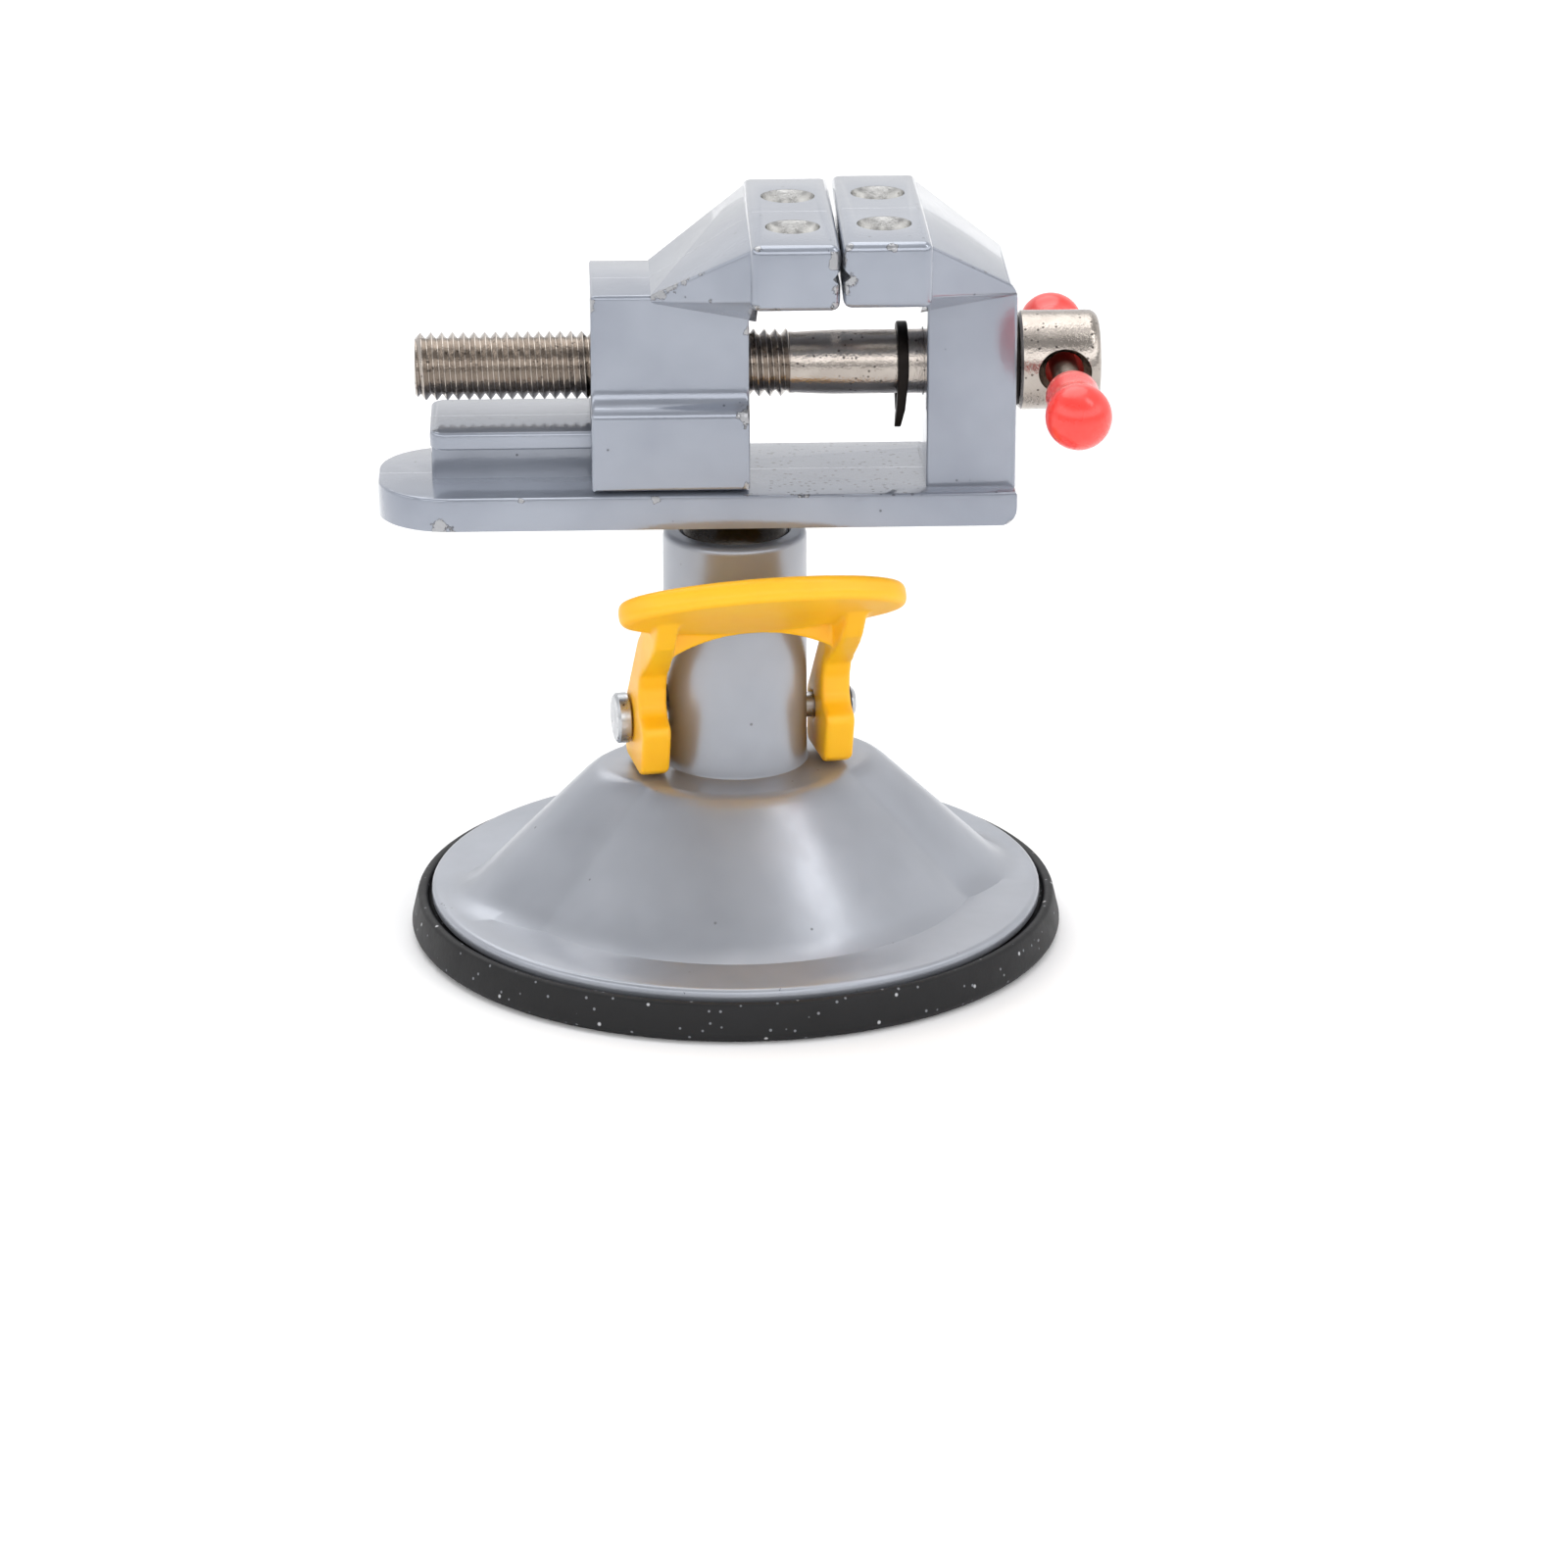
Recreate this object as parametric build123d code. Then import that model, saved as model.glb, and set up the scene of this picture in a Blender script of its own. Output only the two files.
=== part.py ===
from build123d import *
from math import sqrt
import os

# Suction base vise. Millimetres, +Z up. The origin is the centre of the rubber cup's resting face.
# +X runs along the vise towards the tommy bar, -Y is the side that the lever's thumb plate points to.
# Heights ("_z") are measured from the resting face unless a comment says otherwise.

# ---- fits and clearances ----
running_fit = 0.08          # radial, shaft in its bore
ball_fit = 0.15             # radial, ball in its socket
slide_fit = 0.2             # sliding jaw on the T-rail, per side
cup_fit = 0.1               # steel insert in the rubber, radial
face_gap = 0.1              # between stacked flat faces that turn on each other
edge_round = 0.6            # general cast edge
soft_edge = 1.0             # larger cast corner

# ---- rubber cup ----
cup_radius = 39.0
cup_top_radius = 38.0
cup_rim_z = 4.8             # top of the raised ring
cup_seat_z = 3.8            # where the flange sits
cup_seat_gap = 0.4          # between ring and flange lip, radial
cup_web_z = 3.4             # rubber's upper face at the insert
cup_skin = 1.2              # rubber under the insert
insert_radius = 9.5
insert_thick = 2.0
insert_stud_radius = 2.45
insert_stud_length = 8.0
insert_collar_radius = 4.6
stud_end_gap = 1.0          # between a screwed-in stud's end and its hole's floor

# ---- base casting ----
base_yaw = 10.0             # the base and its lever stand turned this much to the vise head, degrees
flange_radius = 36.5
flange_thick = 2.0
bell_foot_radius = 28.3
shoulder_radius = 14.1
shoulder_z = 21.1
bell_wall = 2.6
bell_side_wall = 3.1        # measured level
wing_foot_long = 33.0       # half axes of the side wings at the flange
wing_foot_short = 19.5
wing_top_long = 17.0        # half axes at the shoulder
wing_top_short = 10.3
column_radius = 8.5
column_top_z = 49.7
column_bore_radius = 7.1
mouth_radius = 6.4          # opening over the ball

# ---- lever, pin and plunger ----
pin_over_shoulder = 5.9
pin_radius = 1.5
pin_head_radius = 3.0
pin_head_thick = 1.6
pin_stake_radius = 2.1
pin_end_gap = 0.2           # between the arms and the pin's head or washer
pin_washer_radius = 3.0
pin_washer_thick = 0.7
column_clearance = 0.5      # between the column and the lever's web
arm_gap = 0.8               # between the column and the arms
arm_width = 3.5
foot_clearance = 0.5        # under the lever's feet, with the lever up
plunger_lift = 2.9
plunger_foot_z = 5.2
plunger_rise = 6.5          # its top over the pin
pocket_radius = 5.3
pocket_rise = 2.2           # its floor over the pin
thumb_width = 34.0
thumb_depth = 16.0
thumb_thick = 2.8
thumb_rim_round = 1.0
thumb_slope = 32.0          # degrees
thumb_front = 15.8          # plate's centre, forward of the pin
thumb_rise = 18.6           # and above it
arch_rise = 12.8            # the web's arch over the pin, at its apex
arch_spring_rise = 9.8      # and where it meets the arms
web_front = 9.6
web_thick = 1.0
web_overlap = 1.0           # into each arm
web_top_drop = 5.0          # its back corner, below the thumb plate's centre

# ---- side outline of the lever's arms: y forward of the pin, rise over it ----
arm_back = 3.0
arm_back_rise = 1.5
heel_chamfer = 0.8
elbow_front = 5.0
elbow_rise = 11.5
neck_back_front = 10.2      # back of the neck, inside the thumb plate
neck_back_rise = 15.4
neck_front = 13.2
neck_rise = 17.3
throat_front = 8.4
throat_rise = 7.0
notch_front = 5.9
notch_rise = 3.2
nose_front = 8.2
nose_rise = 1.0
toe_front = 6.8
toe_height = 2.4            # over the foot
foot_round = 2.2

# ---- spring, seat and ball ----
ball_radius = 6.95
seat_floor = 2.0
seat_top_below_centre = 3.8
washer_thick = 0.6
washer_hole_radius = 3.2
spring_wire = 0.8
spring_outer_radius = 4.8
spring_turns = 5
stud_thread_radius = 2.9
lock_washer_radius = 5.3
lock_washer_thick = 0.7

# ---- vise body ----
plate_over_column = 3.2     # room for the ball's neck
plate_thick = 4.0
plate_skin = 1.0            # left above the stud's hole
plate_left = -41.7
body_right = 32.4           # outer face of the upright, and end of the plate
plate_half_width = 10.6
plate_end_round = 8.5
rail_left = -35.5
rail_right = -4.5
rail_neck_half = 2.4
rail_neck_height = 4.7
rail_head_half = 7.1
rail_head_height = 2.2
plate_corner_round = 2.0
upright_thick = 10.4
upright_half = 8.05
upright_fillet = 2.2

# ---- jaws ----
jaw_half_width = 16.0
jaw_thick = 10.2
jaw_height = 7.7
jaw_gap = 0.3
jaw_plane_x = 11.75         # middle of the gap between the closed jaws
jaw_over_screw = 10.4       # from the screw's axis to the moving jaw's lower edge
fixed_jaw_rise = 0.3        # the fixed jaw stands this much higher
jaw_groove_depth = 0.9
jaw_round = 0.8
flange_drop = 1.2           # the side gussets end this far above the jaws' lower edge
fixed_slope_drop = 7.4      # of the slope behind the fixed jaw
moving_slope_drop = 7.7     # of the slope behind the moving jaw
fixed_root_drop = 3.1       # the gussets' root on the upright, below its top
moving_root_drop = 0.8      # and on the sliding body
gusset_end_height = 0.8     # gussets' narrow end
gusset_end_root = 1.2       # its root below the top
gusset_overlap = 0.05       # gussets' narrow end over the body's side
shoulder_round = 3.2        # where the slope meets the upright
jaw_hole_spacing = 14.0
jaw_hole_radius = 2.5       # tapped M6, core
jaw_hole_mouth = 3.1        # countersunk mouth

# ---- sliding jaw body ----
carriage_left = -16.8
carriage_right = 1.5
carriage_flat = 7.0         # level top before the slope
carriage_upper_half = 8.05
carriage_lower_half = 10.0
carriage_foot_gap = 0.4     # over the plate
bend_low_rise = 2.8         # over the rail
bend_top_rise = 5.6
bend_round = 1.4

# ---- screw ----
screw_over_rail = 6.0
thread_radius = 3.95
thread_pitch = 1.25
thread_left = -37.1
thread_right = 6.3
shank_radius = 3.75
groove_radius = 3.0
thrust_washer_radius = 5.3
thrust_washer_thick = 0.6
head_radius = 5.8
head_right = 42.5
head_round = 1.2
clip_x = 19.0
clip_thick = 0.9
clip_radius = 4.7
clip_ear_drop = 7.4         # from the screw's axis to the ears' ends
clip_ear_width = 1.8
clip_mouth_inset = 0.2      # how far the open side grips round the groove
clip_mouth_drop = 1.0

# ---- tommy bar ----
bar_x = 38.2
bar_radius = 1.6
bar_hole_radius = 2.25
cap_near_y = -23.5
cap_far_y = 15.0
cap_ball_radius = 3.8
cap_sleeve_radius = 3.1
cap_sleeve_length = 8.5     # from the ball's centre
cap_bore_depth = 7.0        # of the sleeve, over the bar's end

# ---- places that follow from the sizes ----
flange_z = cup_seat_z + flange_thick
lip_rise = sqrt((ball_radius + ball_fit) ** 2 - mouth_radius ** 2)
ball_z = column_top_z - lip_rise
foot_z = shoulder_z + foot_clearance
pin_z = shoulder_z + pin_over_shoulder
plunger_top_z = pin_z + plunger_rise
pocket_floor_z = pin_z + pocket_rise
arm_inner = column_radius + arm_gap
arm_outer = arm_inner + arm_width
thumb_y = -thumb_front
thumb_z = pin_z + thumb_rise
seat_bottom_z = ball_z - ball_radius - running_fit - seat_floor
seat_top_z = ball_z - seat_top_below_centre
washer_z = seat_bottom_z - face_gap - washer_thick
plate_z = column_top_z + plate_over_column
plate_top_z = plate_z + plate_thick
stud_hole_top_z = plate_top_z - plate_skin
rail_neck_top_z = plate_top_z + rail_neck_height
rail_top_z = rail_neck_top_z + rail_head_height
screw_z = rail_top_z + screw_over_rail
bend_low_z = rail_top_z + bend_low_rise
bend_top_z = rail_top_z + bend_top_rise
upright_left = body_right - upright_thick
fixed_jaw_left = jaw_plane_x + jaw_gap / 2
fixed_jaw_right = fixed_jaw_left + jaw_thick
moving_jaw_right = jaw_plane_x - jaw_gap / 2
moving_jaw_left = moving_jaw_right - jaw_thick
moving_jaw_low_z = screw_z + jaw_over_screw
moving_jaw_top_z = moving_jaw_low_z + jaw_height
fixed_jaw_top_z = moving_jaw_top_z + fixed_jaw_rise
fixed_jaw_low_z = fixed_jaw_top_z - jaw_height
carriage_top_z = moving_jaw_top_z - moving_slope_drop
upright_top_z = fixed_jaw_top_z - fixed_slope_drop
carriage_foot_z = plate_top_z + carriage_foot_gap
head_left = body_right + face_gap + thrust_washer_thick
cup_insert_z = cup_skin + face_gap


def box(x0, x1, y0, y1, z0, z1):
    """A block between two corners."""
    size = Box(x1 - x0, y1 - y0, z1 - z0)
    return Pos((x0 + x1) / 2, (y0 + y1) / 2, (z0 + z1) / 2) * size


def rod(radius, start, end, axis="Z", x=0.0, y=0.0, z=0.0):
    """A round bar along an axis, from start to end on it."""
    bar = Cylinder(radius, abs(end - start))
    middle = (start + end) / 2
    if axis == "X":
        return Pos(middle, y, z) * Rot(0, 90, 0) * bar
    if axis == "Y":
        return Pos(x, middle, z) * Rot(90, 0, 0) * bar
    return Pos(x, y, middle) * bar


def spun(points):
    """A solid of revolution about Z from (radius, height) points."""
    outline = make_face(Plane.XZ * Polyline(*points, close=True))
    return revolve(outline, Axis.Z)


def turned_to_base(piece):
    """The base and lever group stands turned about the column's axis."""
    return Rot(0, 0, base_yaw) * piece


def ellipse_loft(low, low_z, high, high_z):
    """A cone with elliptical sections."""
    lower = Pos(0, 0, low_z) * Ellipse(low[0], low[1])
    upper = Pos(0, 0, high_z) * Ellipse(high[0], high[1])
    return loft([lower, upper], ruled=True)


# ---- base group ----

def suction_cup():
    """Rubber cup with a level resting face, a raised ring round the flange and the insert's pocket."""
    ring_inner = flange_radius + cup_seat_gap
    pocket = insert_radius + cup_fit
    return spun([
        (0, 0),
        (cup_radius - edge_round, 0),
        (cup_radius, edge_round),
        (cup_top_radius, cup_rim_z),
        (ring_inner, cup_rim_z),
        (ring_inner, cup_seat_z),
        (bell_foot_radius - bell_wall, cup_seat_z),
        (pocket, cup_web_z),
        (pocket, cup_skin),
        (0, cup_skin),
    ])


def cup_insert():
    """Steel disc moulded into the rubber, with the stud that the plunger is screwed on to."""
    disc = rod(insert_radius, cup_insert_z, cup_insert_z + insert_thick)
    collar_top = plunger_foot_z
    collar = rod(insert_collar_radius, cup_insert_z + insert_thick, collar_top)
    stud = rod(insert_stud_radius, collar_top, collar_top + insert_stud_length)
    return disc + collar + stud


def bell_outside():
    """Flange, round bell, side wings and column, solid."""
    lip_low = cup_seat_z
    round_part = spun([
        (0, lip_low),
        (flange_radius - edge_round, lip_low),
        (flange_radius, lip_low + edge_round),
        (flange_radius, flange_z - edge_round),
        (flange_radius - edge_round, flange_z),
        (bell_foot_radius, flange_z),
        (shoulder_radius, shoulder_z - soft_edge),
        (shoulder_radius - soft_edge, shoulder_z),
        (column_radius, shoulder_z),
        (column_radius, column_top_z - edge_round),
        (column_radius - edge_round, column_top_z),
        (0, column_top_z),
    ])
    foot = (wing_foot_long, wing_foot_short)
    top = (wing_top_long, wing_top_short)
    wings = ellipse_loft(foot, flange_z - flange_thick / 2, top, shoulder_z)
    return round_part + wings


def bell_inside():
    """The hollow of the casting, open below."""
    roof_z = shoulder_z - bell_wall
    side_wall = bell_side_wall
    hollow = spun([
        (0, cup_seat_z - 1),
        (bell_foot_radius - side_wall, cup_seat_z - 1),
        (bell_foot_radius - side_wall, cup_seat_z),
        (shoulder_radius - side_wall, roof_z),
        (0, roof_z),
    ])
    low = (wing_foot_long - side_wall, wing_foot_short - side_wall)
    high = (wing_top_long - side_wall, wing_top_short - side_wall)
    return hollow + ellipse_loft(low, cup_seat_z - 1, high, roof_z)


def suction_base():
    """The casting, bored for plunger, seat and ball, with slots for the lever's pin."""
    casting = bell_outside() - bell_inside()
    bore = rod(column_bore_radius, cup_seat_z, ball_z)
    socket = Pos(0, 0, ball_z) * Sphere(ball_radius + ball_fit)
    mouth = rod(mouth_radius, ball_z, column_top_z + 1)
    slot_half = pin_radius + running_fit
    slot_top = pin_z + plunger_lift
    reach = column_radius + 2
    slot = box(-reach, reach, -slot_half, slot_half, pin_z, slot_top)
    slot += rod(slot_half, -reach, reach, "X", z=pin_z)
    slot += rod(slot_half, -reach, reach, "X", z=slot_top)
    return casting - bore - socket - mouth - slot


def plunger_rod():
    """Guided in the column's bore, holds the lever's pin and the spring."""
    radius = column_bore_radius - running_fit
    body = rod(radius, plunger_foot_z, plunger_top_z)
    body -= rod(pocket_radius, pocket_floor_z, plunger_top_z + 1)
    body -= rod(pin_radius + running_fit / 2, -radius - 1, radius + 1, "X", z=pin_z)
    stud_hole = insert_stud_length + stud_end_gap
    body -= rod(insert_stud_radius + running_fit, plunger_foot_z - 1, plunger_foot_z + stud_hole)
    return body


def lever_pin():
    """Cross pin with one formed head; the washer is pushed on at the other end."""
    head_in = arm_outer + pin_end_gap
    end = head_in + pin_washer_thick + pin_head_thick / 2
    pin = rod(pin_radius, -head_in, end, "X", z=pin_z)
    head = rod(pin_head_radius, -head_in - pin_head_thick, -head_in, "X", z=pin_z)
    head = fillet(head.edges().group_by(Axis.X)[0], pin_head_thick / 4)
    stake = rod(pin_stake_radius, head_in + pin_washer_thick, end, "X", z=pin_z)
    return pin + head + stake


def pin_end_washer():
    """Black washer under the pin's staked end."""
    inner = arm_outer + pin_end_gap
    ring = rod(pin_washer_radius, inner, inner + pin_washer_thick, "X", z=pin_z)
    return ring - rod(pin_radius, inner - 1, inner + pin_washer_thick + 1, "X", z=pin_z)


def lever_arm(side):
    """One arm: cam foot, finger notch at the front, and a long slope at the back."""
    outline = Polyline(
        (arm_back, foot_z + heel_chamfer),
        (arm_back, pin_z + arm_back_rise),
        (-elbow_front, pin_z + elbow_rise),
        (-neck_back_front, pin_z + neck_back_rise),
        (-neck_front, pin_z + neck_rise),
        (-throat_front, pin_z + throat_rise),
        (-notch_front, pin_z + notch_rise),
        (-nose_front, pin_z + nose_rise),
        (-toe_front, foot_z + toe_height),
        (-toe_front, foot_z),
        (arm_back - heel_chamfer, foot_z),
        close=True,
    )
    face = make_face(Plane.YZ * outline)
    toe = face.vertices().sort_by_distance((0, -toe_front, foot_z))[0]
    face = fillet(toe, foot_round)
    blunt = []
    for front, rise in ((throat_front, throat_rise), (notch_front, notch_rise), (nose_front, nose_rise)):
        blunt.append(face.vertices().sort_by_distance((0, -front, pin_z + rise))[0])
    face = fillet(blunt, edge_round)
    arm = extrude(face, arm_width)
    start = arm_inner if side > 0 else -arm_outer
    return Pos(start - arm.bounding_box().min.X, 0, 0) * arm


def lever_web():
    """Cross wall between the arms with its arched lower edge."""
    low_z = pin_z + arch_spring_rise - web_thick
    outline = Polyline(
        (-web_front + web_thick, low_z),
        (-web_front + web_thick, thumb_z - web_top_drop),
        (-neck_front, pin_z + neck_rise),
        (-web_front, low_z),
        close=True,
    )
    wall = extrude(make_face(Plane.YZ * outline), arm_inner + web_overlap, both=True)
    rise = arch_rise - arch_spring_rise
    arch_radius = (arm_inner ** 2 + rise ** 2) / (2 * rise)
    arch = rod(arch_radius, -thumb_front - thumb_depth, 0, "Y", z=pin_z + arch_rise - arch_radius)
    return wall - arch


def thumb_plate():
    """Oval plate at the lever's end, sloping up to the front, with a rounded rim."""
    plate = extrude(Ellipse(thumb_width / 2, thumb_depth / 2), thumb_thick / 2, both=True)
    plate = fillet(plate.edges(), thumb_rim_round)
    return Pos(0, thumb_y, thumb_z) * Rot(-thumb_slope, 0, 0) * plate


def lever():
    """U-shaped cam lever, moulded in one piece."""
    body = lever_arm(1) + lever_arm(-1) + lever_web() + thumb_plate()
    body -= rod(pin_radius + running_fit, -arm_outer - 1, arm_outer + 1, "X", z=pin_z)
    return body - rod(column_radius + column_clearance, foot_z - 2, thumb_z + thumb_depth)


def spring_path(radius, low_z, pitch, half_turns):
    """A coil of half-circle arcs; each lies in its own tilted plane and meets the next smoothly."""
    arcs = []
    for i in range(half_turns):
        side = 1 if i % 2 == 0 else -1
        z = low_z + i * pitch / 2
        start = (side * radius, 0, z)
        middle = (0, side * radius, z + pitch / 4)
        end = (-side * radius, 0, z + pitch / 2)
        arcs.append(ThreePointArc(start, middle, end))
    return Wire(arcs)


def release_spring():
    """Compression spring between the plunger's pocket and the seat's washer."""
    wire_radius = spring_wire / 2
    low = pocket_floor_z + wire_radius
    height = washer_z - pocket_floor_z - spring_wire
    radius = spring_outer_radius - wire_radius
    pitch = height / spring_turns
    path = spring_path(radius, low, pitch, spring_turns * 2)
    section = Plane(origin=path @ 0, z_dir=path % 0) * Circle(wire_radius)
    print("spring: gap between turns", round(pitch - spring_wire, 3))
    return sweep(section, path=path)


def spring_washer():
    """Flat washer that lets the seat turn on the spring."""
    ring = rod(column_bore_radius - 2 * running_fit, washer_z, washer_z + washer_thick)
    return ring - rod(washer_hole_radius, washer_z - 1, washer_z + washer_thick + 1)


def ball_seat():
    """Cup under the ball."""
    seat = rod(column_bore_radius - running_fit, seat_bottom_z, seat_top_z)
    return seat - Pos(0, 0, ball_z) * Sphere(ball_radius + running_fit)


def ball_stud():
    """Ball with a flat top under the washer, and a threaded end in the plate."""
    flat_z = plate_z - lock_washer_thick
    ball = Pos(0, 0, ball_z) * Sphere(ball_radius)
    ball -= rod(ball_radius, flat_z, flat_z + ball_radius)
    return ball + rod(stud_thread_radius, flat_z - 1, stud_hole_top_z - face_gap)


def stud_lock_washer():
    """Washer that keeps the stud from turning in the plate."""
    ring = rod(lock_washer_radius, plate_z - lock_washer_thick, plate_z)
    return ring - rod(stud_thread_radius + running_fit, plate_z - 2, plate_z + 1)


# ---- head group ----

def vise_plate():
    """Base plate with a rounded left end and a softened right-hand lower corner."""
    plate = box(plate_left, body_right, -plate_half_width, plate_half_width, plate_z, plate_top_z)
    left_corners = plate.edges().filter_by(Axis.Z).group_by(Axis.X)[0]
    plate = fillet(left_corners, plate_end_round)
    right_low = plate.edges().filter_by(Axis.Y).filter_by(lambda e: e.center().X > body_right - 0.1)
    plate = fillet(right_low.sort_by(Axis.Z)[0:1], plate_corner_round)
    rim = plate.edges().group_by(Axis.Z)[0]
    square_end = body_right - plate_corner_round - edge_round
    return fillet(rim.filter_by(lambda e: e.center().X < square_end), edge_round)


def t_rail():
    """Rail that the sliding jaw rides on."""
    neck = box(rail_left, rail_right, -rail_neck_half, rail_neck_half, plate_top_z, rail_top_z)
    head = box(rail_left, rail_right, -rail_head_half, rail_head_half, rail_neck_top_z, rail_top_z)
    return neck + fillet(head.edges(), edge_round)


def jaw_section(x, top, low, root, half):
    """Outline of the jaw where its side gussets begin, square to X."""
    inner = upright_half
    plane = Plane(origin=(x, 0, 0), x_dir=(0, 1, 0), z_dir=(1, 0, 0))
    points = [(inner, root), (half, low), (half, top), (-half, top), (-half, low), (-inner, root)]
    return make_face(plane * Polyline(*points, close=True))


def gussets(x_jaw, x_out, jaw_top, jaw_low, root_z, out_top):
    """The tapering part behind a jaw: a loft from the jaw's full width to the narrow body."""
    wide = jaw_section(x_jaw, jaw_top, jaw_low + flange_drop, root_z, jaw_half_width)
    narrow_low = out_top - gusset_end_height
    narrow_root = out_top - gusset_end_root
    narrow = jaw_section(x_out, out_top, narrow_low, narrow_root, upright_half + gusset_overlap)
    return loft([wide, narrow], ruled=True)


def jaw_block(left, right, low_z, top_z, face_x):
    """One jaw with rounded edges and a level groove along its clamping face."""
    block = box(left, right, -jaw_half_width, jaw_half_width, low_z, top_z)
    block = fillet(block.edges(), jaw_round)
    middle = (low_z + top_z) / 2
    side = jaw_groove_depth * sqrt(2)
    groove = Box(side, 2 * jaw_half_width + 2, side)
    return block - Pos(face_x, 0, middle) * Rot(0, 45, 0) * groove


def jaw_holes(x, top_z, depth):
    """Two tapped holes down through the jaw, with countersunk mouths."""
    sink = jaw_hole_mouth - jaw_hole_radius
    cutters = []
    for side in (-1, 1):
        y = side * jaw_hole_spacing / 2
        cutters.append(rod(jaw_hole_radius, top_z - depth - 1, top_z + 1, x=x, y=y))
        mouth = Cone(jaw_hole_radius, jaw_hole_mouth + sink, 2 * sink)
        cutters.append(Pos(x, y, top_z) * mouth)
    return cutters


def upright_side():
    """Side view of the upright and the slope above it, with the rounded shoulder; it trims both."""
    reach = jaw_half_width + 1
    outline = Polyline(
        (fixed_jaw_left, plate_z),
        (body_right, plate_z),
        (body_right, upright_top_z),
        (fixed_jaw_right - jaw_round, fixed_jaw_top_z),
        (fixed_jaw_left, fixed_jaw_top_z),
        close=True,
    )
    face = make_face(Plane.XZ * outline)
    shoulder = face.vertices().sort_by_distance((body_right, 0, upright_top_z))[0]
    face = fillet(shoulder, shoulder_round)
    return extrude(face, reach, both=True)


def vise_body():
    """Plate, T-rail, upright and fixed jaw, cast in one piece."""
    upright = box(upright_left, body_right, -upright_half, upright_half, plate_top_z, upright_top_z)
    jaw = jaw_block(fixed_jaw_left, fixed_jaw_right, fixed_jaw_low_z, fixed_jaw_top_z, fixed_jaw_left)
    slope = gussets(fixed_jaw_right - jaw_round, body_right, fixed_jaw_top_z, fixed_jaw_low_z,
                    upright_top_z - fixed_root_drop, upright_top_z)
    slope = slope & upright_side()
    stem = vise_plate() + (upright & upright_side())
    corners = stem.edges().filter_by(lambda e: abs(e.center().Z - plate_top_z) < 0.01)
    roots = corners.filter_by(lambda e: upright_left - 0.1 < e.center().X < body_right - 0.5)
    roots = roots.filter_by(lambda e: abs(e.center().Y) < upright_half + 0.1)
    stem = fillet(roots, upright_fillet)
    body = stem + t_rail() + jaw + slope
    body -= rod(shank_radius + running_fit, upright_left - 1, body_right + 1, "X", z=screw_z)
    body -= rod(stud_thread_radius + running_fit, plate_z - 1, stud_hole_top_z)
    jaw_middle = (fixed_jaw_left + fixed_jaw_right) / 2
    for cutter in jaw_holes(jaw_middle, fixed_jaw_top_z, jaw_height):
        body -= cutter
    return body


def carriage_outline():
    """Half-width profile of the sliding jaw's body, seen along the screw."""
    return [
        (carriage_lower_half, carriage_foot_z),
        (carriage_lower_half, bend_low_z),
        (carriage_upper_half, bend_top_z),
        (carriage_upper_half, carriage_top_z),
    ]


def sliding_jaw():
    """Moving jaw: body on the T-rail, sloping back and the jaw."""
    right_side = carriage_outline()
    left_side = [(-y, z) for y, z in reversed(right_side)]
    plane = Plane(origin=(carriage_left, 0, 0), x_dir=(0, 1, 0), z_dir=(1, 0, 0))
    face = make_face(plane * Polyline(*(right_side + left_side), close=True))
    bends = face.vertices().filter_by(lambda v: bend_low_z - 0.1 < v.Z < bend_top_z + 0.1)
    face = fillet(bends, bend_round)
    body = extrude(face, carriage_right - carriage_left)
    ends = body.edges().filter_by(lambda e: e.center().X < carriage_left + 0.01)
    body = fillet(ends, edge_round)
    slope_foot = carriage_left + carriage_flat
    slope = gussets(moving_jaw_left + jaw_round, slope_foot, moving_jaw_top_z, moving_jaw_low_z,
                    carriage_top_z - moving_root_drop, carriage_top_z)
    jaw = jaw_block(moving_jaw_left, moving_jaw_right, moving_jaw_low_z, moving_jaw_top_z,
                    moving_jaw_right)
    body = body + slope + jaw
    body -= rail_slot()
    body -= rod(thread_radius + running_fit, carriage_left - 1, carriage_right + 1, "X", z=screw_z)
    jaw_middle = (moving_jaw_left + moving_jaw_right) / 2
    for cutter in jaw_holes(jaw_middle, moving_jaw_top_z, jaw_height):
        body -= cutter
    return body


def rail_slot():
    """T-slot that fits over the rail."""
    start = carriage_left - 1
    end = carriage_right + 1
    neck = rail_neck_half + slide_fit
    head = rail_head_half + slide_fit
    low = box(start, end, -neck, neck, carriage_foot_z - 1, rail_top_z)
    wide = box(start, end, -head, head, rail_neck_top_z - slide_fit, rail_top_z + slide_fit)
    return low + wide


# ---- screw group ----

def lead_screw():
    """Threaded part, plain shank with the clip's groove, and the head drilled for the bar."""
    threaded = rod(thread_radius, thread_left, thread_right, "X", z=screw_z)
    tip = threaded.edges().group_by(Axis.X)[0]
    threaded = chamfer(tip, thread_pitch / 2)
    shank = rod(shank_radius, thread_right, head_left, "X", z=screw_z)
    head = rod(head_radius, head_left, head_right, "X", z=screw_z)
    head = fillet(head.edges().group_by(Axis.X)[-1], head_round)
    screw = threaded + shank + head
    groove = rod(shank_radius + 1, clip_x, clip_x + clip_thick, "X", z=screw_z)
    groove -= rod(groove_radius, clip_x - 1, clip_x + clip_thick + 1, "X", z=screw_z)
    screw -= groove
    return screw - rod(bar_hole_radius, -head_radius - 1, head_radius + 1, "Y", x=bar_x, z=screw_z)


def screw_thrust_washer():
    """Thin washer between the screw's head and the upright."""
    start = body_right + face_gap / 2
    ring = rod(thrust_washer_radius, start, start + thrust_washer_thick, "X", z=screw_z)
    return ring - rod(shank_radius + running_fit, start - 1, start + 2, "X", z=screw_z)


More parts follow.
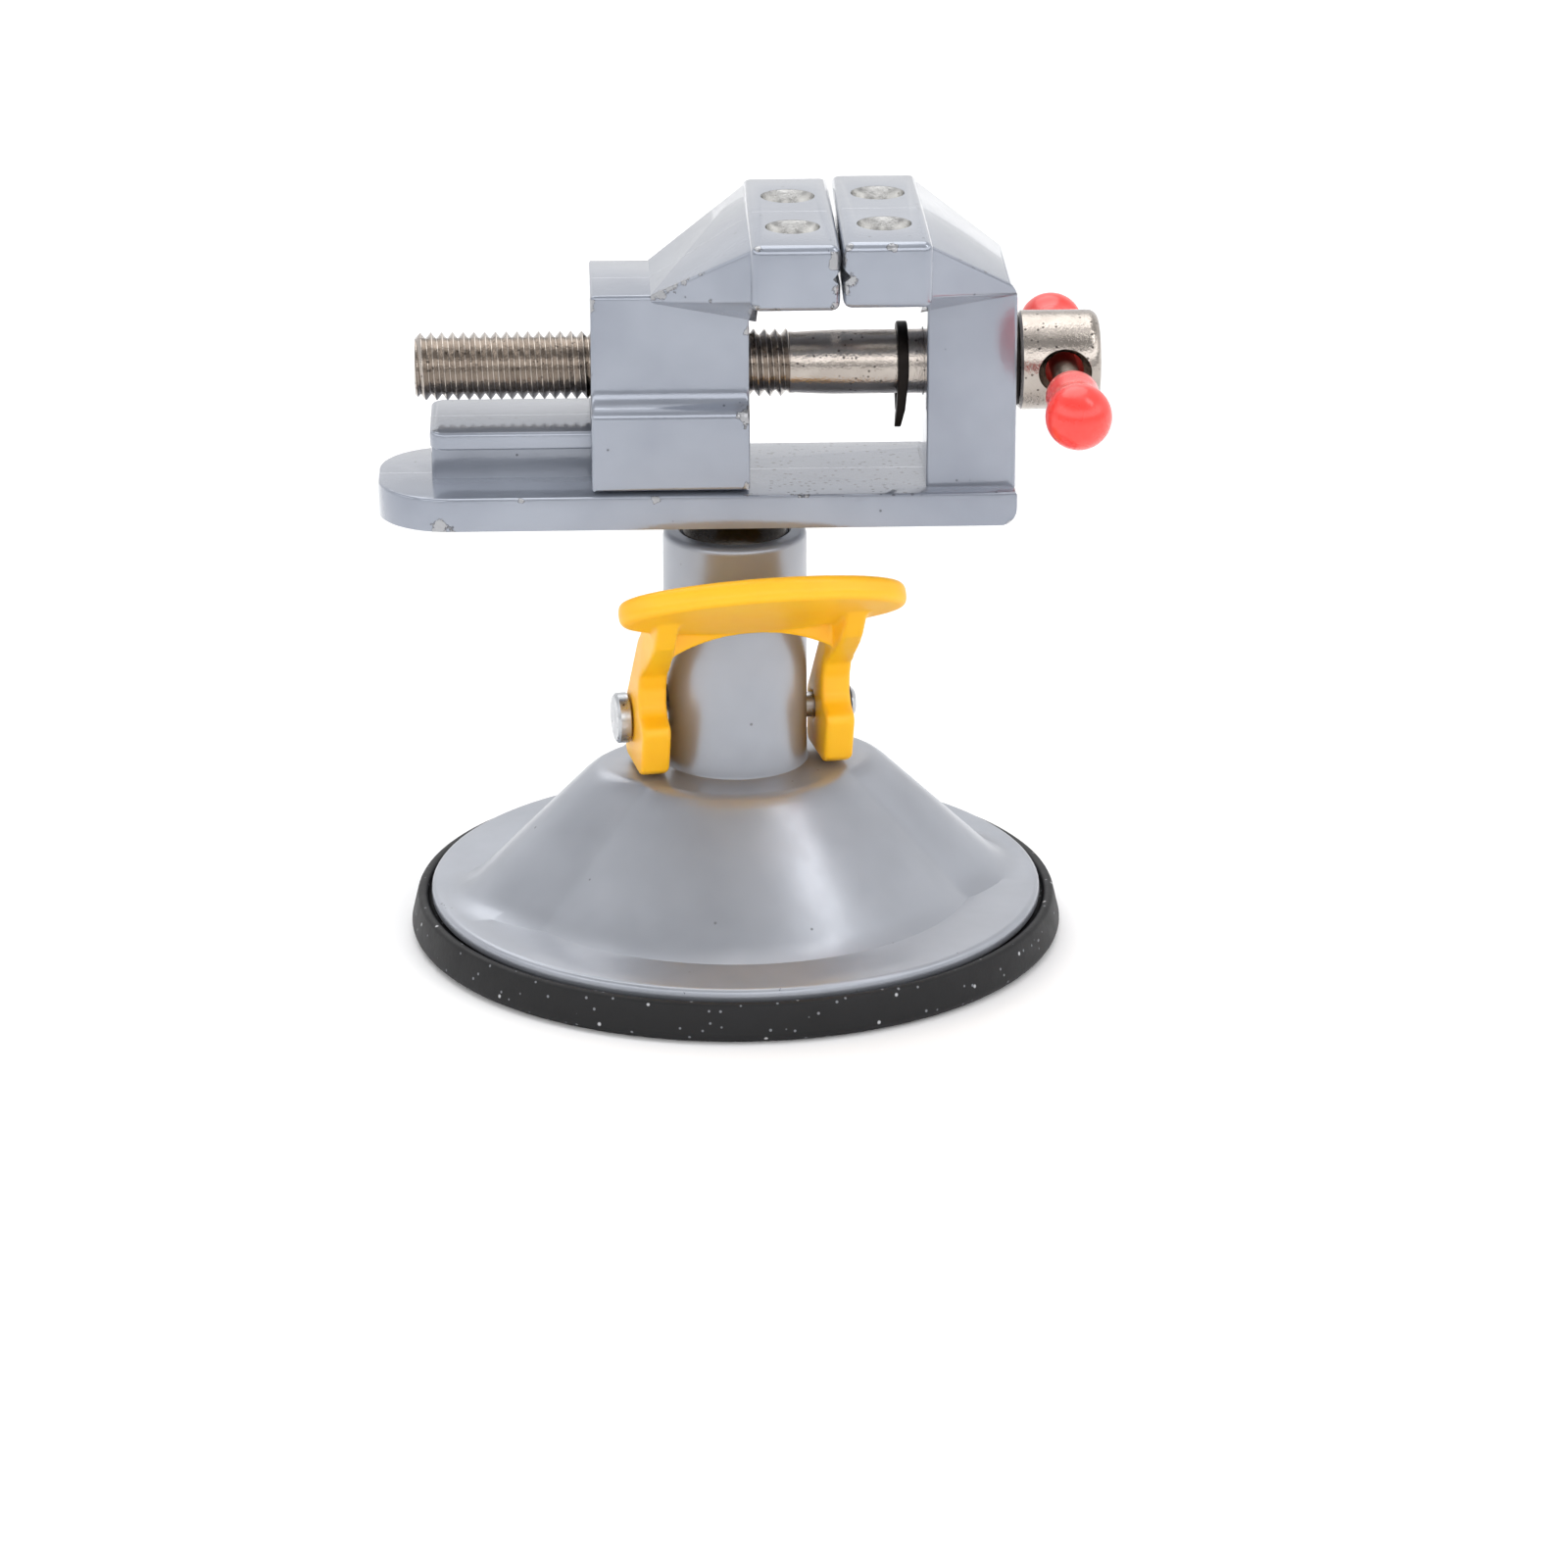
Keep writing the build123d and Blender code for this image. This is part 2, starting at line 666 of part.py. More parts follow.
def screw_retaining_clip():
    """E-clip in the shank's groove: a ring open below, with two ears."""
    end = clip_x + clip_thick
    ring = rod(clip_radius, clip_x, end, "X", z=screw_z)
    ear_out = groove_radius + clip_ear_width
    ears = box(clip_x, end, -ear_out, ear_out, screw_z - clip_ear_drop, screw_z)
    clip = ring + ears
    clip -= rod(groove_radius + running_fit, clip_x - 1, end + 1, "X", z=screw_z)
    mouth = groove_radius - clip_mouth_inset
    low_z = screw_z - clip_ear_drop - 1
    return clip - box(clip_x - 1, end + 1, -mouth, mouth, low_z, screw_z - clip_mouth_drop)


def tommy_bar():
    """Bar through the screw's head, its ends inside the caps."""
    near_end = cap_near_y + cap_sleeve_length - cap_bore_depth
    far_end = cap_far_y - cap_sleeve_length + cap_bore_depth
    return rod(bar_radius, near_end, far_end, "Y", x=bar_x, z=screw_z)


def bar_cap(ball_y, inward):
    """Ball cap with a tapered sleeve over the bar's end."""
    sleeve_end = ball_y + inward * cap_sleeve_length
    cap = Pos(bar_x, ball_y, screw_z) * Sphere(cap_ball_radius)
    cap += rod(cap_sleeve_radius, ball_y, sleeve_end, "Y", x=bar_x, z=screw_z)
    bore_start = sleeve_end - inward * cap_bore_depth
    return cap - rod(bar_radius, bore_start, sleeve_end + inward, "Y", x=bar_x, z=screw_z)


pieces = {
    "suction_base": turned_to_base(suction_base()),
    "suction_cup": suction_cup(),
    "cup_insert": cup_insert(),
    "plunger_rod": turned_to_base(plunger_rod()),
    "release_spring": release_spring(),
    "spring_washer": spring_washer(),
    "ball_seat": ball_seat(),
    "ball_stud": ball_stud(),
    "stud_lock_washer": stud_lock_washer(),
    "lever": turned_to_base(lever()),
    "lever_pin": turned_to_base(lever_pin()),
    "pin_end_washer": turned_to_base(pin_end_washer()),
    "vise_body": vise_body(),
    "sliding_jaw": sliding_jaw(),
    "lead_screw": lead_screw(),
    "screw_thrust_washer": screw_thrust_washer(),
    "screw_retaining_clip": screw_retaining_clip(),
    "tommy_bar": tommy_bar(),
    "bar_cap_near": bar_cap(cap_near_y, 1),
    "bar_cap_far": bar_cap(cap_far_y, -1),
}

os.makedirs("parts", exist_ok=True)
for name, piece in pieces.items():
    export_step(piece, f"parts/{name}.step")
    print(name, round(piece.volume, 1), "mm3")
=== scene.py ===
import bpy
import bmesh
from functools import partial
from math import asin, atan2, cos, degrees, pi, radians, sin, sqrt, tan
from mathutils import Matrix, Vector


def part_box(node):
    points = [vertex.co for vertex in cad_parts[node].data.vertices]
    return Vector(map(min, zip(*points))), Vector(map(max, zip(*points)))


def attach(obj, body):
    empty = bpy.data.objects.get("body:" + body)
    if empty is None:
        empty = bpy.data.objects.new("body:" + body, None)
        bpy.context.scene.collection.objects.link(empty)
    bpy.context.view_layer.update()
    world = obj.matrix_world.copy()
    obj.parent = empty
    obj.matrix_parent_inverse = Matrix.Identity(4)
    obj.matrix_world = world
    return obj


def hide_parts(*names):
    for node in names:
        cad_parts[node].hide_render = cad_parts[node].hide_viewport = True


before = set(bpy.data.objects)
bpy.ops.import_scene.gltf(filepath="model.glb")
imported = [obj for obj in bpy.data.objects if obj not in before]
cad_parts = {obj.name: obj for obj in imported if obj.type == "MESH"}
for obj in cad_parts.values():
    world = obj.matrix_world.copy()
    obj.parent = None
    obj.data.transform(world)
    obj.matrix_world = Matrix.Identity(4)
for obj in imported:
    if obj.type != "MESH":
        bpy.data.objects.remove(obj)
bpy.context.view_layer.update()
scene = bpy.context.scene
metre = 0.001  # one millimetre in scene units
print("frame loaded:", len(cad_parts), "nodes")


def boxOf(node):
    low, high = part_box(node)
    return low / metre, high / metre  # millimetres


def toLinear(hexColor):
    channels = [int(hexColor[i:i + 2], 16) / 255 for i in (1, 3, 5)]
    linear = [c / 12.92 if c <= 0.04045 else ((c + 0.055) / 1.055) ** 2.4 for c in channels]
    return (*linear, 1.0)


def perMm(size):  # pattern scale for features this many millimetres across
    return 1 / (size * metre)


def addNode(tree, kind, settings=None, links=None, output=0):
    node = tree.nodes.new("ShaderNode" + kind)
    for key, value in (settings or {}).items():
        if isinstance(key, int) or key in node.inputs:
            node.inputs[key].default_value = value
        else:
            setattr(node, key, value)
    for socket, source in (links or {}).items():
        tree.links.new(source, node.inputs[socket])
    return node if output is None else node.outputs[output]


def newMaterial(name):
    material = bpy.data.materials.new(name)
    material.use_nodes = True
    material.node_tree.nodes.clear()
    add = partial(addNode, material.node_tree)
    return material, add, add("TexCoord", output="Object")


def fillMaterial(material, settings, links):
    surface = addNode(material.node_tree, "BsdfPrincipled", settings, links)
    addNode(material.node_tree, "OutputMaterial", {}, {"Surface": surface}, None)
    return material


# Round dots, one in each chosen cell of so many millimetres. Real dust and pits are finer than the render
# can show, so the dots are drawn coarser, a few pixels across.
def speckPattern(add, place, spacing, share, reach=0.14):
    scale = {"Scale": perMm(spacing)}
    away = add("TexVoronoi", scale, {"Vector": place}, "Distance")
    cellColor = add("TexVoronoi", scale, {"Vector": place}, "Color")
    near = add("MapRange", {"From Min": reach, "From Max": reach * 0.55}, {"Value": away})
    pick = add("SeparateColor", {}, {"Color": cellColor})
    chosen = add("MapRange", {"From Min": share + 0.01, "From Max": share}, {"Value": pick})
    return add("Math", {"operation": "MULTIPLY"}, {0: near, 1: chosen})


def slabPattern(add, value, low, high, soft):  # one between the two places, in millimetres, else nothing
    ends = [add("MapRange", {"From Min": start * metre, "From Max": end * metre}, {"Value": value})
            for start, end in ((low - soft, low), (high + soft, high))]
    return add("Math", {"operation": "MULTIPLY"}, {0: ends[0], 1: ends[1]})


def wearPattern(add, place, spots):  # fades out from each worn place
    total = None
    for *spot, reach in spots:
        centre = [c * metre for c in spot]
        away = add("VectorMath", {"operation": "DISTANCE", 1: centre}, {0: place}, "Value")
        fade = {"From Min": reach * metre, "From Max": 0.25 * reach * metre}
        near = add("MapRange", fade, {"Value": away})
        if total is None:
            total = near
        else:
            total = add("Math", {"operation": "MAXIMUM"}, {0: total, 1: near})
    return total


# Glossy silver-grey enamel sprayed on a zinc die casting: sharp reflections in a clear skin over a soft
# metallic body, fine dust pits, a mould parting line along the middle, and bare bright metal with a dark rim
# where it is knocked. Sizes are in millimetres.
castPaint = {
    "light": "#9AA0AB", "dark": "#8A909C", "pit": "#55585F",
    "bare": "#A6A7AA", "ring": "#5A5D64", "line": "#DCDFE4",
    "metallic": 0.42, "roughness": (0.09, 0.17), "coat": 0.75, "coatRoughness": 0.03,
    "cloud": 16.0, "smudge": 5.0, "wave": 9.0, "waveDepth": 0.10, "peel": 1.3, "peelDepth": 0.012,
    "speckSize": 1.5, "pitShare": 0.07, "onHead": True,
    "poreHeights": (56.7, 57.1), "poreReach": (4.0, 20.0), "poreSize": 0.9, "poreShare": 0.70,
    "lineHalf": 0.14, "lineCore": 0.02, "lineShare": 0.35, "lineHeight": 0.05,
    "tear": 1.1, "patches": 8.0, "grain": 0.5, "grainDepth": 0.16, "chipDepth": 0.08,
    "ringFrom": (0.735, 0.75), "chipFrom": (0.765, 0.785), "wearPull": 0.42,
}
headWear = [  # places knocked down to bare metal: x, y, z and reach in millimetres
    (-17.2, -8.0, 79.3, 1.8), (-17.6, -8.1, 70.7, 1.3), (-17.6, -8.9, 67.3, 1.2), (1.4, -9.9, 66.3, 2.4),
    (1.6, -8.1, 76.0, 1.1), (1.2, -10.0, 57.6, 1.3), (-17.6, -10.0, 62.0, 1.0), (-9.3, -8.9, 80.9, 2.0),
    (-7.9, -9.8, 81.8, 1.8), (-6.4, -10.7, 82.7, 1.5), (-4.6, -11.8, 83.8, 1.0), (11.2, -16.0, 86.2, 2.1),
    (11.7, -16.0, 82.8, 1.5), (11.0, -16.0, 80.5, 1.2), (1.9, -16.0, 80.5, 1.2), (12.6, -16.0, 84.0, 1.5),
    (17.4, -16.0, 88.0, 1.1), (12.5, -16.0, 87.9, 1.1), (-25.0, -10.6, 56.6, 0.7), (-9.4, -10.6, 56.6, 0.8),
    (-34.3, -10.4, 52.9, 2.2), (2.3, -15.8, 87.8, 0.9), (22.0, -16.0, 80.6, 0.9), (31.9, -10.6, 53.2, 0.9),
]


def makeCastPaint(name, look, edgeWear, wear=()):
    material, add, place = newMaterial(name)
    spot = {"Vector": place}
    cloud = add("TexNoise", {"Scale": perMm(look["cloud"]), "Detail": 3.0}, spot)
    patch = add("MapRange", {"From Min": 0.35, "From Max": 0.65}, {"Value": cloud})
    tones = {"data_type": "RGBA", 6: toLinear(look["dark"]), 7: toLinear(look["light"])}
    grey = add("Mix", tones, {0: patch}, 2)
    pits = speckPattern(add, place, look["speckSize"], look["pitShare"])
    axes = add("SeparateXYZ", {}, {0: place}, None)
    if look["onHead"]:  # the plate's top between jaw and upright is pocked
        shelf = slabPattern(add, axes.outputs[2], *look["poreHeights"], 0.1)
        span = slabPattern(add, axes.outputs[0], *look["poreReach"], 3.0)
        where = add("Math", {"operation": "MULTIPLY"}, {0: shelf, 1: span})
        pores = speckPattern(add, place, look["poreSize"], look["poreShare"], 0.30)
        pores = add("Math", {"operation": "MULTIPLY"}, {0: pores, 1: where})
        pits = add("Math", {"operation": "MAXIMUM"}, {0: pits, 1: pores})
    grey = add("Mix", {"data_type": "RGBA", 7: toLinear(look["pit"])}, {0: pits, 6: grey}, 2)
    smudge = {"Scale": perMm(look["smudge"]), "Detail": 6.0, "Roughness": 0.65}
    smudge = add("TexNoise", smudge, spot)
    smudge = add("MapRange", {"From Min": 0.4, "From Max": 0.7}, {"Value": smudge})
    smooth, dull = look["roughness"]
    rough = add("Mix", {2: smooth, 3: dull}, {0: smudge})
    metal = add("Mix", {2: look["metallic"], 3: 0.1}, {0: pits})
    wave = add("TexNoise", {"Scale": perMm(look["wave"]), "Detail": 1.0}, spot)
    normal = add("Bump", {"Strength": 0.35, "Distance": look["waveDepth"] * metre}, {"Height": wave})
    peel = add("TexNoise", {"Scale": perMm(look["peel"]), "Detail": 2.0}, spot)
    normal = add("Bump", {"Strength": 0.35, "Distance": look["peelDepth"] * metre},
                 {"Height": peel, "Normal": normal})
    if look["onHead"]:
        off = add("Math", {"operation": "ABSOLUTE"}, {0: axes.outputs[1]})
        width = {"From Min": look["lineHalf"] * metre, "From Max": look["lineCore"] * metre}
        line = add("MapRange", width, {"Value": off})
        faint = add("Math", {"operation": "MULTIPLY", 1: look["lineShare"]}, {0: line})
        grey = add("Mix", {"data_type": "RGBA", 7: toLinear(look["line"])}, {0: faint, 6: grey}, 2)
        normal = add("Bump", {"Strength": 0.6, "Distance": look["lineHeight"] * metre},
                     {"Height": line, "Normal": normal})
    if edgeWear or wear:
        tear = add("TexNoise", {"Scale": perMm(look["tear"]), "Detail": 6.0, "Roughness": 0.68}, spot)
        patches = add("TexNoise", {"Scale": perMm(look["patches"]), "Detail": 2.0}, spot)
        share = {"From Min": 0.45, "From Max": 0.75, "To Max": edgeWear}
        worn = add("MapRange", share, {"Value": patches})
        if wear:
            knocked = wearPattern(add, place, wear)
            worn = add("Math", {"operation": "MAXIMUM"}, {0: worn, 1: knocked})
        depth = add("Math", {"operation": "MULTIPLY_ADD", 1: look["wearPull"]}, {0: worn, 2: tear})
        ring, chip = [add("MapRange", {"From Min": low, "From Max": high}, {"Value": depth})
                      for low, high in (look["ringFrom"], look["chipFrom"])]
        for bare, tone in ((ring, look["ring"]), (chip, look["bare"])):
            grey = add("Mix", {"data_type": "RGBA", 7: toLinear(tone)}, {0: bare, 6: grey}, 2)
        rough = add("Mix", {3: 0.30}, {0: chip, 2: rough})
        metal = add("Mix", {3: 1.0}, {0: chip, 2: metal})
        grain = add("TexNoise", {"Scale": perMm(look["grain"]), "Detail": 3.0}, spot)
        grain = add("Math", {"operation": "MULTIPLY"}, {0: chip, 1: grain})
        for height, strength, reach in ((grain, 0.9, look["grainDepth"]), (depth, 0.3, look["chipDepth"])):
            normal = add("Bump", {"Strength": strength, "Distance": reach * metre},
                         {"Height": height, "Normal": normal})
    coat = {"Coat Weight": look["coat"], "Coat Roughness": look["coatRoughness"]}
    return fillMaterial(material, coat, {
        "Base Color": grey, "Roughness": rough, "Metallic": metal, "Normal": normal})


metalSizes = {"cloud": 3.0, "pitSize": 0.7, "pitReach": 0.28, "pit": "#665F5A", "rub": 1.5}  # millimetres


def makeMetal(name, light, dark, roughness, grain, depth, pitShare):
    material, add, place = newMaterial(name)
    sizes, spot = metalSizes, {"Vector": place}
    cloud = add("TexNoise", {"Scale": perMm(sizes["cloud"]), "Detail": 4.0}, spot)
    tones = {"data_type": "RGBA", 6: toLinear(light), 7: toLinear(dark)}
    color = add("Mix", tones, {0: cloud}, 2)
    pits = speckPattern(add, place, sizes["pitSize"], pitShare, sizes["pitReach"])
    color = add("Mix", {"data_type": "RGBA", 7: toLinear(sizes["pit"])}, {0: pits, 6: color}, 2)
    rub = add("TexNoise", {"Scale": perMm(sizes["rub"]), "Detail": 5.0, "Roughness": 0.7}, spot)
    rub = add("MapRange", {"From Min": 0.4, "From Max": 0.65}, {"Value": rub})
    rough = add("Mix", {2: roughness[0], 3: roughness[1]}, {0: rub})
    pitting = add("TexNoise", {"Scale": perMm(grain), "Detail": 4.0, "Roughness": 0.6}, spot)
    normal = add("Bump", {"Strength": 0.6, "Distance": depth * metre}, {"Height": pitting})
    return fillMaterial(material, {"Metallic": 1.0}, {
        "Base Color": color, "Roughness": rough, "Normal": normal})


plasticSizes = {"cloud": 9.0, "rub": 2.5, "sink": 5.0, "sinkDepth": 0.10, "glow": 1.2}  # millimetres


def makePlastic(name, color, deep, roughness, coat, subsurface):
    material, add, place = newMaterial(name)
    sizes, spot = plasticSizes, {"Vector": place}
    cloud = add("TexNoise", {"Scale": perMm(sizes["cloud"]), "Detail": 2.0}, spot)
    patch = add("MapRange", {"From Min": 0.3, "From Max": 0.7}, {"Value": cloud})
    tones = {"data_type": "RGBA", 6: toLinear(color), 7: toLinear(deep)}
    tone = add("Mix", tones, {0: patch}, 2)
    rub = add("TexNoise", {"Scale": perMm(sizes["rub"]), "Detail": 4.0}, spot)
    rough = add("Mix", {2: roughness, 3: roughness + 0.12}, {0: rub})
    sink = add("TexNoise", {"Scale": perMm(sizes["sink"]), "Detail": 1.0}, spot)
    normal = add("Bump", {"Strength": 0.3, "Distance": sizes["sinkDepth"] * metre}, {"Height": sink})
    return fillMaterial(material, {
        "IOR": 1.5, "Coat Weight": coat, "Coat Roughness": 0.08,
        "Subsurface Weight": subsurface, "Subsurface Scale": sizes["glow"] * metre,
    }, {"Base Color": tone, "Roughness": rough, "Normal": normal})


# Moulded nitrile rubber: near-black and matt with a soft sheen, a paler bloom, and pale dust clinging to it.
# Sizes are in millimetres. Each kind of dust has its spacing, its share of the cells and its reach in a cell.
rubberLook = {
    "deep": "#08080A", "bloom": "#0E0E11", "bloomSize": 12.0, "rub": 2.0, "grain": 0.6, "grainDepth": 0.05,
    "dust": (("#77797E", 1.1, 0.50, 0.19), ("#B9BABD", 1.9, 0.25, 0.15)),
}


def makeRubber(name, look):
    material, add, place = newMaterial(name)
    spot = {"Vector": place}
    bloom = add("TexNoise", {"Scale": perMm(look["bloomSize"]), "Detail": 4.0}, spot)
    patch = add("MapRange", {"From Min": 0.35, "From Max": 0.7}, {"Value": bloom})
    tones = {"data_type": "RGBA", 6: toLinear(look["deep"]), 7: toLinear(look["bloom"])}
    tone = add("Mix", tones, {0: patch}, 2)
    for color, spacing, share, reach in look["dust"]:
        dust = speckPattern(add, place, spacing, share, reach)
        tone = add("Mix", {"data_type": "RGBA", 7: toLinear(color)}, {0: dust, 6: tone}, 2)
    rub = add("TexNoise", {"Scale": perMm(look["rub"]), "Detail": 5.0}, spot)
    rough = add("Mix", {2: 0.45, 3: 0.62}, {0: rub})
    grain = add("TexNoise", {"Scale": perMm(look["grain"]), "Detail": 3.0}, spot)
    normal = add("Bump", {"Strength": 0.5, "Distance": look["grainDepth"] * metre}, {"Height": grain})
    return fillMaterial(material, {"IOR": 1.42}, {
        "Base Color": tone, "Roughness": rough, "Normal": normal})


headPaint = makeCastPaint("Silver-grey enamel on zinc die casting", castPaint, 0.0, headWear)
# The same enamel where two faces meet, nicked through to bright metal.
headEdge = makeCastPaint("Worn enamel on casting edges", castPaint, 0.55, headWear)
# Silver lacquer sprayed on the base: duller than the head's enamel, so its reflections blur into broad bands.
bellLook = {
    **castPaint, "light": "#A9ADB5", "dark": "#9CA0A8", "pit": "#74777C", "metallic": 0.6,
    "roughness": (0.33, 0.41), "coat": 0.3, "coatRoughness": 0.14,
    "speckSize": 1.6, "pitShare": 0.03, "peelDepth": 0.018, "onHead": False,
}
bellPaint = makeCastPaint("Silver lacquer on base casting", bellLook, 0.0)
# The same lacquer rubbed through along the rims.
bellEdge = makeCastPaint("Worn lacquer on base casting edges", bellLook, 0.35)
# Freshly cut zinc: bright, with a lathe-like sparkle in the threads.
# After its two tones each metal has its roughness from smooth to rubbed, its pitting's grain and depth in
# millimetres, and its share of dark pits.
bareThread = makeMetal("Bare tapped zinc", "#D8D8D6", "#B9B8B6", (0.14, 0.30), 0.5, 0.03, 0.0)
# Nickel on turned steel: warm bright bands, pocked with small dark pits that glint.
nickel = makeMetal("Nickel-plated turned steel", "#C8C0B8", "#958C84", (0.08, 0.18), 0.35, 0.08, 0.35)
# Zinc plate: cool, pale and slightly frosted.
zincPlate = makeMetal("Zinc-plated steel", "#C9CBCD", "#AEB0B3", (0.26, 0.42), 0.6, 0.03, 0.05)
# Drawn spring wire: grey with a soft gleam.
springSteel = makeMetal("Bright spring steel", "#9B9DA0", "#86888B", (0.22, 0.32), 0.5, 0.02, 0.0)
# Blackened steel: almost black with a dull gleam along its edges.
blackSteel = makeMetal("Blackened spring steel", "#1E1C1B", "#2B2725", (0.40, 0.55), 0.4, 0.04, 0.0)
# Ball and its cup: oily dark steel that mirrors the mouth of the column.
ballSteel = makeMetal("Oiled dark ball steel", "#4B4743", "#2E2B28", (0.16, 0.30), 0.5, 0.03, 0.10)
# Warm yellow moulding with light glowing a little way into it.
leverPlastic = makePlastic("Yellow moulded ABS", "#FFC010", "#FFB60A", 0.38, 0.08, 0.15)
# Soft dipped plastic, red and slightly see-through at its skin.
capPlastic = makePlastic("Red dipped vinyl", "#F8443B", "#EE3B34", 0.22, 0.30, 0.18)
rubber = makeRubber("Moulded nitrile rubber", rubberLook)
print("materials made")


def blockMesh(low, high):
    mesh = bmesh.new()
    size = [b - a for a, b in zip(low, high)]
    middle = [(a + b) / 2 for a, b in zip(low, high)]
    bmesh.ops.create_cube(mesh, size=1.0)
    bmesh.ops.scale(mesh, vec=size, verts=mesh.verts)
    bmesh.ops.translate(mesh, vec=middle, verts=mesh.verts)
    return mesh


def prismMesh(points, depth):
    mesh = bmesh.new()
    face = mesh.faces.new([mesh.verts.new(p) for p in points])
    grown = bmesh.ops.extrude_face_region(mesh, geom=[face])
    tops = [v for v in grown["geom"] if isinstance(v, bmesh.types.BMVert)]
    bmesh.ops.translate(mesh, vec=depth, verts=tops)
    bmesh.ops.recalc_face_normals(mesh, faces=mesh.faces)
    return mesh


def loftMesh(first, second):
    mesh = bmesh.new()
    loops = []
    for points in (first, second):
        face = mesh.faces.new([mesh.verts.new(p) for p in points])
        loops += list(face.edges)
    bmesh.ops.bridge_loops(mesh, edges=loops)
    bmesh.ops.recalc_face_normals(mesh, faces=mesh.faces)
    return mesh


def spinMesh(points, axis="Z", centre=(0, 0, 0), steps=96):
    mesh = bmesh.new()
    spots = {"Z": lambda r, h: (r, 0, h), "X": lambda r, h: (h, 0, r), "Y": lambda r, h: (r, h, 0)}[axis]
    chain = [mesh.verts.new(Vector(spots(r, h)) + Vector(centre)) for r, h in points]
    edges = [mesh.edges.new(pair) for pair in zip(chain, chain[1:])]
    direction = {"X": (1, 0, 0), "Y": (0, 1, 0), "Z": (0, 0, 1)}[axis]
    bmesh.ops.spin(mesh, geom=chain + edges, cent=centre, axis=direction,
                   angle=2 * pi, steps=steps, use_merge=True)
    bmesh.ops.remove_doubles(mesh, verts=mesh.verts, dist=1e-4)
    bmesh.ops.recalc_face_normals(mesh, faces=mesh.faces)
    return mesh


def helixMesh(points, centre, axis, pitch, turns, steps):
    mesh = bmesh.new()
    chain = [mesh.verts.new(p) for p in points]
    edges = [mesh.edges.new(pair) for pair in zip(chain, chain[1:])]
    climb = [pitch / steps * part for part in axis]
    bmesh.ops.spin(mesh, geom=chain + edges, cent=centre, axis=axis, dvec=climb,
                   angle=2 * pi * turns, steps=steps * turns, use_merge=False)
    bmesh.ops.remove_doubles(mesh, verts=mesh.verts, dist=1e-3)
    return mesh


def rodMesh(radius, start, end, axis="Z", centre=(0, 0, 0), steps=72):
    return spinMesh([(0, start), (radius, start), (radius, end), (0, end)], axis, centre, steps)


def turnMesh(mesh, angle, axis):
    bmesh.ops.rotate(mesh, cent=(0, 0, 0), matrix=Matrix.Rotation(radians(angle), 3, axis), verts=mesh.verts)
    return mesh


def arcPoints(centre, radius, start, end, count):
    step = (end - start) / count
    return [(centre[0] + radius * cos(radians(start + i * step)),
             centre[1] + radius * sin(radians(start + i * step))) for i in range(count + 1)]


def roundEdges(mesh, offset, segments=3, minAngle=25, wanted=None, slot=None):
    edges = [e for e in mesh.edges if e.is_manifold and e.calc_face_angle() > radians(minAngle)]
    if wanted:
        edges = [e for e in edges if wanted((e.verts[0].co + e.verts[1].co) / 2, e)]
    made = bmesh.ops.bevel(mesh, geom=edges, offset=offset, offset_type="OFFSET", segments=segments,
                           profile=0.5, affect="EDGES", material=-1, clamp_overlap=True)
    if slot is not None:
        for face in made["faces"]:
            face.material_index = slot
    return mesh


def runOf(edge, axis):  # how far an edge runs along x, y or z
    return abs(edge.verts[0].co[axis] - edge.verts[1].co[axis])


def setSlot(mesh, slot):
    for face in mesh.faces:
        face.material_index = slot
    return mesh


def looseObject(mesh, name="working"):
    data = bpy.data.meshes.new(name)
    mesh.to_mesh(data)
    thing = bpy.data.objects.new(name, data)
    scene.collection.objects.link(thing)
    return thing


def bakedMesh(thing):
    graph = bpy.context.evaluated_depsgraph_get()
    data = bpy.data.meshes.new_from_object(thing.evaluated_get(graph))
    mesh = bmesh.new()
    mesh.from_mesh(data)
    bpy.data.meshes.remove(data)
    return mesh


def joinSolids(body, others, operation="UNION"):
    main = looseObject(body)
    tools = [looseObject(other) for other in others]
    for tool in tools:
        cut = main.modifiers.new("join", "BOOLEAN")
        cut.operation, cut.solver, cut.object = operation, "EXACT", tool
    result = bakedMesh(main)
    for thing in [main, *tools]:
        bpy.data.objects.remove(thing)
    bmesh.ops.remove_doubles(result, verts=result.verts, dist=1e-4)
    bmesh.ops.dissolve_degenerate(result, edges=result.edges, dist=1e-4)
    return result


def finishPiece(name, mesh, body, materials, nodes=(), sharp=35):
    bmesh.ops.scale(mesh, vec=(metre,) * 3, verts=mesh.verts)
    piece = looseObject(mesh, name)
    mesh.free()
    data = piece.data
    for material in materials:
        data.materials.append(material)
    data.polygons.foreach_set("use_smooth", [True] * len(data.polygons))
    data.set_sharp_from_angle(angle=radians(sharp))
    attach(piece, body)
    if nodes:
        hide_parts(*nodes)
    print("piece", name, len(data.polygons), "faces")


baseYaw = 10.0  # the base and lever stand turned this much to the head

cupHigh = boxOf("suction_cup")[1]
cup = {
    "radius": cupHigh.x, "topRadius": cupHigh.x - 1.0, "height": cupHigh.z,
    "seat": 3.8, "ringInner": 36.9, "round": 0.45, "steps": 192,
    "pocket": 9.7, "pocketLow": 1.25, "pocketTop": 3.4,  # hollow for the insert
}


def makeCup():
    radius, ring, top = cup["radius"], cup["ringInner"], cup["height"] - 0.1
    outline = [
        (0, 0), (radius - 0.9, 0), (radius, 0.9), (cup["topRadius"] + 0.1, top), (ring + 0.1, top),
        (ring, cup["seat"]), (12, cup["seat"] - 0.1), (cup["pocket"], cup["pocketTop"]),
        (cup["pocket"], cup["pocketLow"]), (0, cup["pocketLow"]),
    ]
    mesh = roundEdges(spinMesh(outline, steps=cup["steps"]), cup["round"], 3, 20)
    finishPiece("rubberCup", mesh, "base", [rubber], ["suction_cup"])


